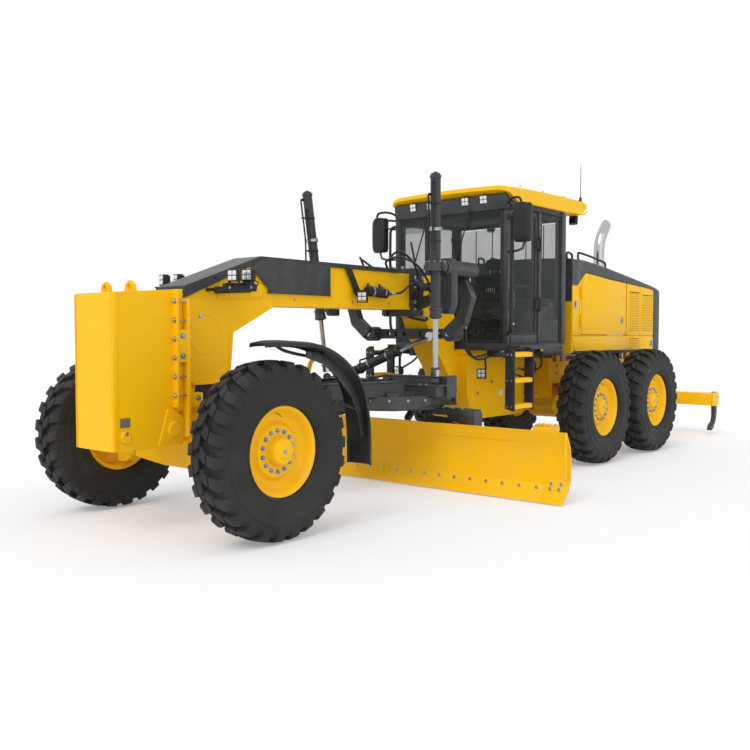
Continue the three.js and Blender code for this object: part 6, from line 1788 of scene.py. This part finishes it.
# ---- ripper ----
ripper = {"y": 9.45, "z": 0.565, "arm": 0.42, "pivotY": 8.22, "pivotZ": 0.72, "shanks": (-1.05, 0.0, 1.05),
          "sockets": (-0.7, -0.35, 0.35, 0.7)}


def ripperShape(shape):
    y, z = ripper["y"], ripper["z"]
    py, pz = ripper["pivotY"], ripper["pivotZ"]
    shape.block((-1.12, y - 0.1, z - 0.1), (1.12, y + 0.1, z + 0.095), 0.014)
    shape.block((-0.458, y - 0.42, 0.64), (0.458, y - 0.33, 0.72), 0.008)
    for side in (-1, 1):
        x = side * ripper["arm"]
        arm = [(py - 0.03, pz - 0.05), (y - 0.09, z - 0.07), (y - 0.09, z + 0.08), (y - 0.42, 0.758),
               (py - 0.03, pz + 0.055)]
        shape.slab("x", arm, x - 0.038, x + 0.038, 0.006)
        shape.band((x - 0.041, py, pz), (x + 0.041, py, pz), 0.062, 0.0284, 36, 0, 0.004)
        shape.slab("x", [(y - 0.3, z + 0.07), (y + 0.05, z + 0.07), (y - 0.16, 0.875), (y - 0.255, 0.875)],
                   side * 0.052 - 0.012, side * 0.052 + 0.012, 0.004)
        shape.band((side * 0.04, y - 0.21, 0.83), (side * 0.064, y - 0.21, 0.83), 0.052, 0.022, 32, 0, 0.003)
        shape.block((side * 1.12 - 0.006, y - 0.108, z - 0.108),
                    (side * 1.12 + 0.006, y + 0.108, z + 0.103), 0.003)
    shape.block((-0.064, y - 0.34, z + 0.04), (0.064, y - 0.02, z + 0.094), 0.006)
    shape.block((-0.03, y - 0.38, z + 0.04), (0.03, y - 0.09, 0.7), 0.006)
    for x in ripper["sockets"]:  # empty sockets that stand ready for more shanks
        shape.block((x - 0.055, y + 0.092, z - 0.1), (x - 0.036, y + 0.19, z + 0.09), 0.004)
        shape.block((x + 0.036, y + 0.092, z - 0.1), (x + 0.055, y + 0.19, z + 0.09), 0.004)
        shape.block((x - 0.055, y + 0.165, z - 0.09), (x + 0.055, y + 0.19, z + 0.08), 0.004)
        shape.rod((x - 0.07, y + 0.14, z + 0.02), (x + 0.07, y + 0.14, z + 0.02), 0.013, 16, 1)
    for x in ripper["shanks"]:
        shape.block((x - 0.058, y + 0.092, z - 0.105), (x - 0.034, y + 0.2, z + 0.092), 0.004)
        shape.block((x + 0.034, y + 0.092, z - 0.105), (x + 0.058, y + 0.2, z + 0.092), 0.004)
        shape.rod((x - 0.074, y + 0.148, z + 0.02), (x + 0.074, y + 0.148, z + 0.02), 0.015, 16, 1)
        blade = [(y + 0.098, z + 0.105), (y + 0.188, z + 0.105), (y + 0.198, z + 0.02), (y + 0.211, 0.4),
                 (y + 0.211, 0.32), (y + 0.19, 0.24), (y + 0.15, 0.175), (y + 0.085, 0.125),
                 (y + 0.02, 0.115), (y + 0.02, 0.165), (y + 0.07, 0.19), (y + 0.105, 0.24), (y + 0.12, 0.3),
                 (y + 0.112, 0.4)]
        shape.slab("x", blade, x - 0.03, x + 0.03, 0.006, 2)
        tip = [(y + 0.062, 0.182), (y + 0.075, 0.108), (y - 0.03, 0.066), (y - 0.042, 0.074),
               (y - 0.01, 0.14)]
        shape.slab("x", tip, x - 0.04, x + 0.04, 0.008, 2)
        shape.rod((x - 0.044, y + 0.045, 0.142), (x + 0.044, y + 0.045, 0.142), 0.009, 12, 1)


onePiece(ripperShape, "ripper_tool", "ripper", ["yellow_paint", "zinc_nut", "charcoal_paint"], "ripper")
print("hood, exhaust and ripper ready")

print("all pieces ready")
